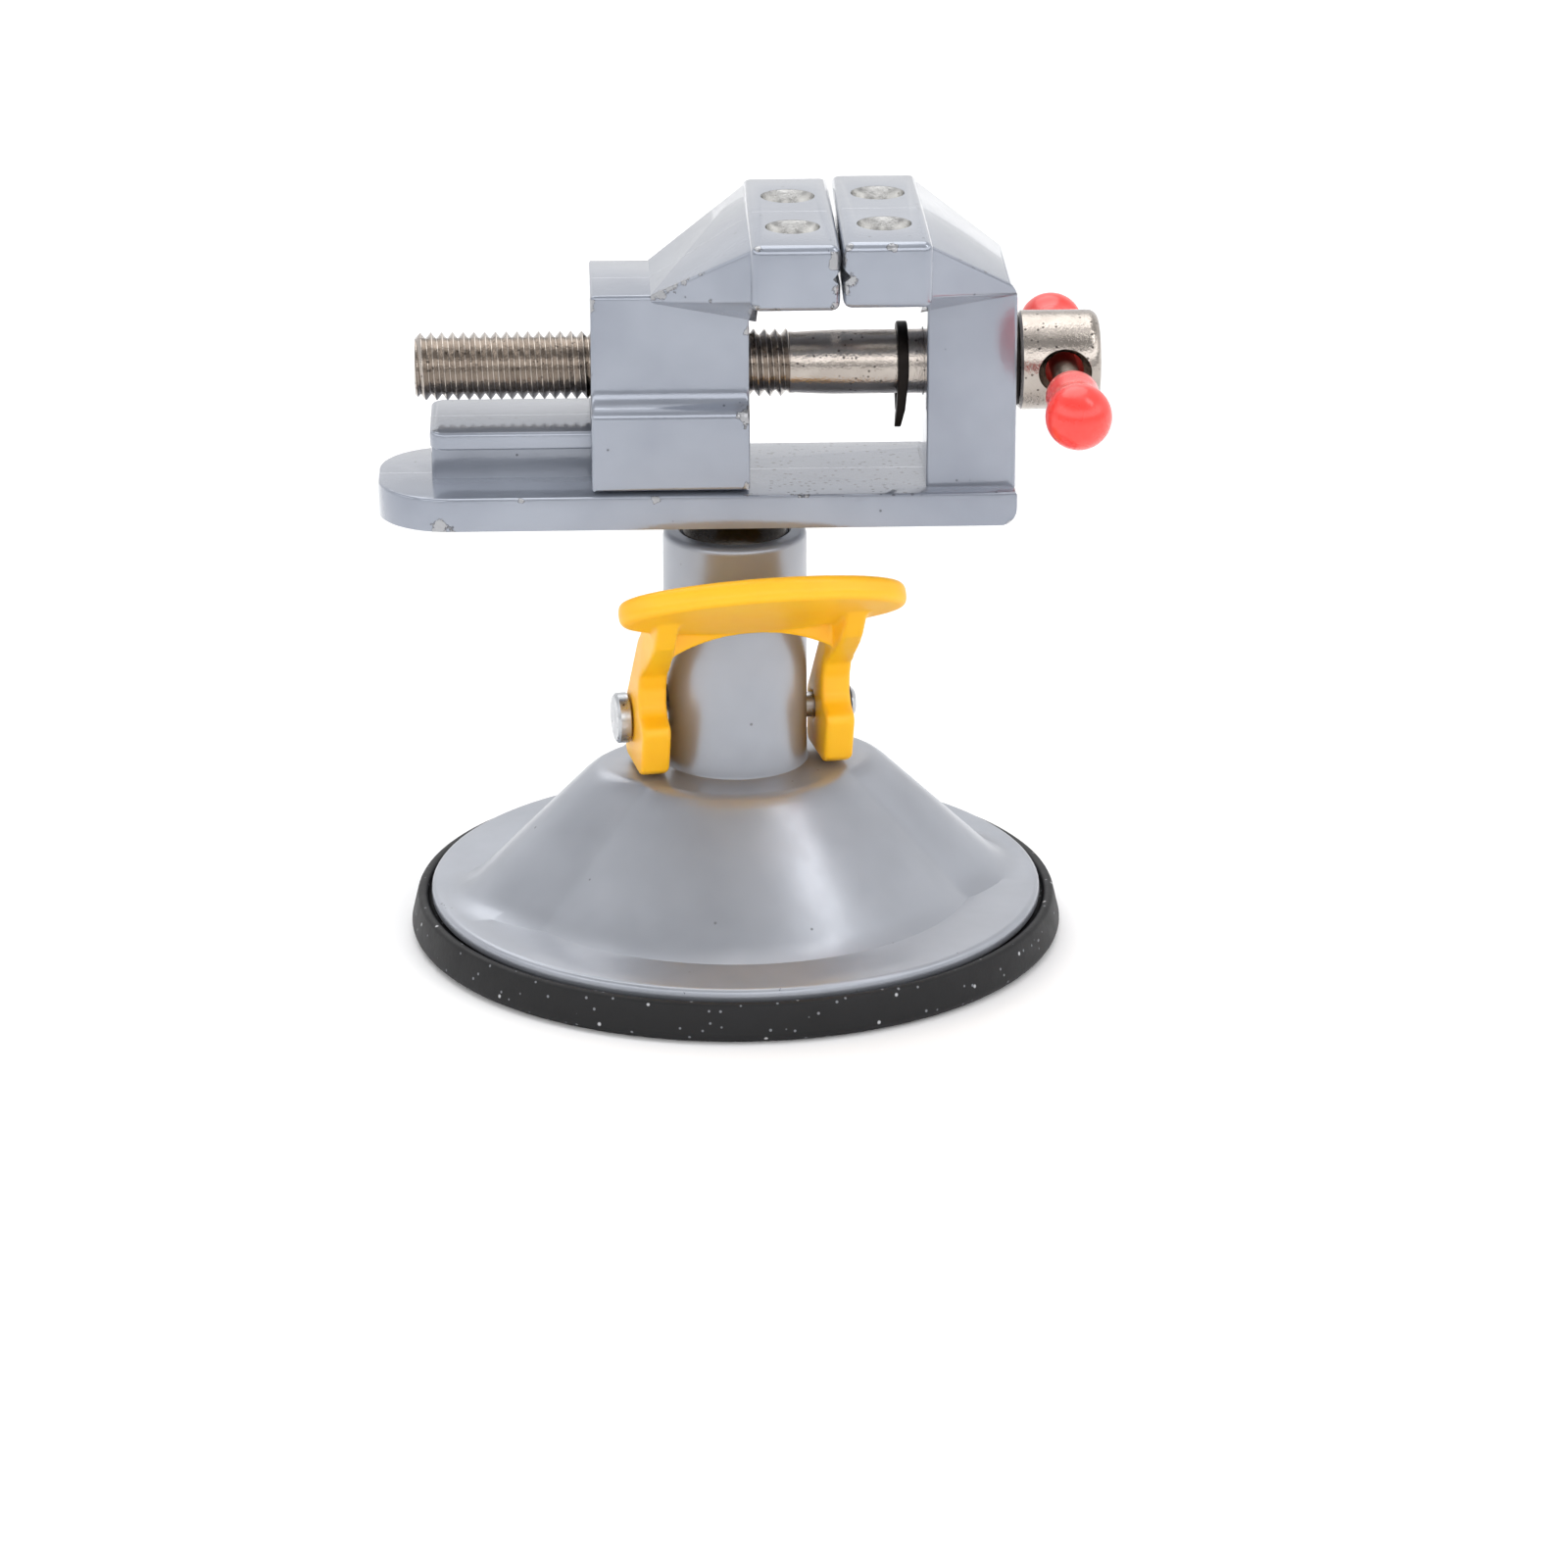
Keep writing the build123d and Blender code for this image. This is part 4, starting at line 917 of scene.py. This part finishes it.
def capOutline(inward):
    ball, sleeve, length = bar["ball"], bar["sleeve"], bar["sleeveLong"]
    points = [(ball * sin(radians(a)), -inward * ball * cos(radians(a))) for a in range(0, 125, 6)]
    neck = ((sleeve - 0.12, 0.50), (sleeve - 0.2, 0.60), (sleeve - 0.05, 0.8), (sleeve, 0.95),
            (sleeve - 0.25, 1.0))
    points += [(r, inward * length * share) for r, share in neck]
    bore, floor = bar["radius"] + 0.03, inward * (length - bar["socket"])
    return points + [(bore, inward * length), (bore, floor), (0, floor)]


def makeBar():
    low, high = boxOf("tommy_bar")
    radius, x, z = bar["radius"], bar["x"], screw["z"]
    outline = [(0, low.y), (radius - 0.2, low.y), (radius, low.y + 0.2),
               (radius, high.y - 0.2), (radius - 0.2, high.y), (0, high.y)]
    mesh = spinMesh(outline, "Y", (x, 0, z), 64)
    finishPiece("tommyRod", mesh, "tommy_bar", [nickel], ["tommy_bar"])
    for name, node, place, inward in (("ballCapNear", "bar_cap_near", bar["near"], 1),
                                      ("ballCapFar", "bar_cap_far", bar["far"], -1)):
        mesh = spinMesh(capOutline(inward), "Y", (x, place, z), 72)
        finishPiece(name, mesh, "tommy_bar", [capPlastic], [node], sharp=50)


ball = {"flat": 52.2, "neck": 2.9}


def makeBall():
    low, high = boxOf("ball_stud")
    radius, flat, neck = high.x, ball["flat"], ball["neck"]
    middle = low.z + radius
    angles = [radians(a) for a in range(0, int(90 + degrees(asin((flat - middle) / radius))), 5)]
    points = [(radius * sin(a), middle - radius * cos(a)) for a in angles]
    points += [(sqrt(radius ** 2 - (flat - middle) ** 2), flat), (neck, flat), (neck, high.z), (0, high.z)]
    finishPiece("ballStud", spinMesh(points, steps=96), "head", [ballSteel], ["ball_stud"])


def dressInnerNodes():
    finishes = {
        "cup_insert": zincPlate, "plunger_rod": zincPlate, "spring_washer": zincPlate, "ball_seat": zincPlate,
        "release_spring": springSteel, "stud_lock_washer": blackSteel,
    }
    for name, material in finishes.items():
        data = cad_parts[name].data
        data.materials.clear()
        data.materials.append(material)


makeCup()
makeBase()
makeLever()
makePin()
makeVise()
makeSlidingJaw()
makeScrew()
makeClip()
makeBar()
makeBall()
dressInnerNodes()
print("pieces made")

stage = {  # sky bands are pairs of the elevation's sine and the brightness there
    "floor": "#FDFDFD", "floorSize": 3.0, "worldPower": 1.0,
    "frontSky": ((0, 0.38), (0.17, 0.38), (0.29, 2.2), (0.52, 2.2), (0.64, 0.50), (0.93, 0.50), (0.99, 1.3)),
    "backSky": ((0, 0.85), (0.26, 0.95), (0.46, 0.95), (0.60, 0.62), (0.93, 0.70), (0.99, 1.3)),
}


def makeFloor():
    mesh = bmesh.new()
    bmesh.ops.create_grid(mesh, x_segments=2, y_segments=2, size=stage["floorSize"])
    floor = looseObject(mesh, "paleFloor")
    paper = {"Base Color": toLinear(stage["floor"]), "Roughness": 0.8}
    floor.data.materials.append(fillMaterial(newMaterial("Matt white paper")[0], paper, {}))


def skyBands(add, height, bands):
    ramp = add("ValToRGB", {}, {"Fac": height}, None)
    stops = ramp.color_ramp.elements
    while len(stops) < len(bands):
        stops.new(0.5)
    for stop, (spot, level) in zip(stops, bands):
        stop.position = spot
        stop.color = (level, level, level * 1.01, 1.0)
    return ramp.outputs[0]


def makeWorld():
    world = bpy.data.worlds.new("Studio")
    world.use_nodes = True
    world.node_tree.nodes.clear()
    add = partial(addNode, world.node_tree)
    place = add("TexCoord", output="Generated")
    parts = add("SeparateXYZ", {}, {0: place}, None)
    behind = add("MapRange", {"From Min": -0.15, "From Max": 0.25}, {"Value": parts.outputs[1]})
    front, back = [skyBands(add, parts.outputs[2], stage[side]) for side in ("frontSky", "backSky")]
    sky = add("Mix", {"data_type": "RGBA"}, {0: behind, 6: front, 7: back}, 2)
    background = add("Background", {"Strength": stage["worldPower"]}, {"Color": sky})
    add("OutputWorld", {}, {"Surface": background}, None)
    scene.world = world
    scene.view_settings.view_transform = "Standard"


def addSoftbox(name, place, size, power, aim=(0, 0, 0.045)):
    data = bpy.data.lights.new(name, "AREA")
    data.shape = "RECTANGLE"
    data.size, data.size_y, data.energy = size[0], size[1], power
    light = bpy.data.objects.new(name, data)
    light.location = place
    light.rotation_euler = (Vector(aim) - Vector(place)).to_track_quat("-Z", "Y").to_euler()
    scene.collection.objects.link(light)


def makeLights():
    data = bpy.data.lights.new("ceilingWash", "SUN")
    data.energy = 1.2
    data.angle = radians(55)
    wash = bpy.data.objects.new("ceilingWash", data)
    wash.rotation_euler = Vector((0.15, -0.55, -1.0)).to_track_quat("-Z", "Y").to_euler()
    scene.collection.objects.link(wash)
    addSoftbox("streakSoftbox", (0.36, -0.16, 0.60), (0.16, 0.30), 0.55)


cameraSetup = {  # worked out from the photograph's straight edges and circles
    "azimuth": -2.3, "elevation": 20.17, "distance": 0.706, "aimRight": 0.0058, "aimUp": 0.01754,
    "focalPixels": 6026.6, "framePixels": 1600, "sensor": 36.0,
}


def makeCamera():
    c = cameraSetup
    turn, rise = radians(c["azimuth"]), radians(c["elevation"])
    back = Vector((sin(turn) * cos(rise), -cos(turn) * cos(rise), sin(rise)))
    right = Vector((cos(turn), sin(turn), 0))
    aim = right * c["aimRight"] + Vector((0, 0, c["aimUp"]))
    data = bpy.data.cameras.new("photoCamera")
    data.sensor_width = c["sensor"]
    data.lens = c["sensor"] * c["focalPixels"] / c["framePixels"]
    data.clip_start, data.clip_end = 0.01, 20
    camera = bpy.data.objects.new("photoCamera", data)
    camera.location = aim + back * c["distance"]
    camera.rotation_euler = (-back).to_track_quat("-Z", "Y").to_euler()
    scene.collection.objects.link(camera)
    scene.camera = camera


makeFloor()
makeWorld()
makeLights()
makeCamera()
print("stage, lights and camera ready")
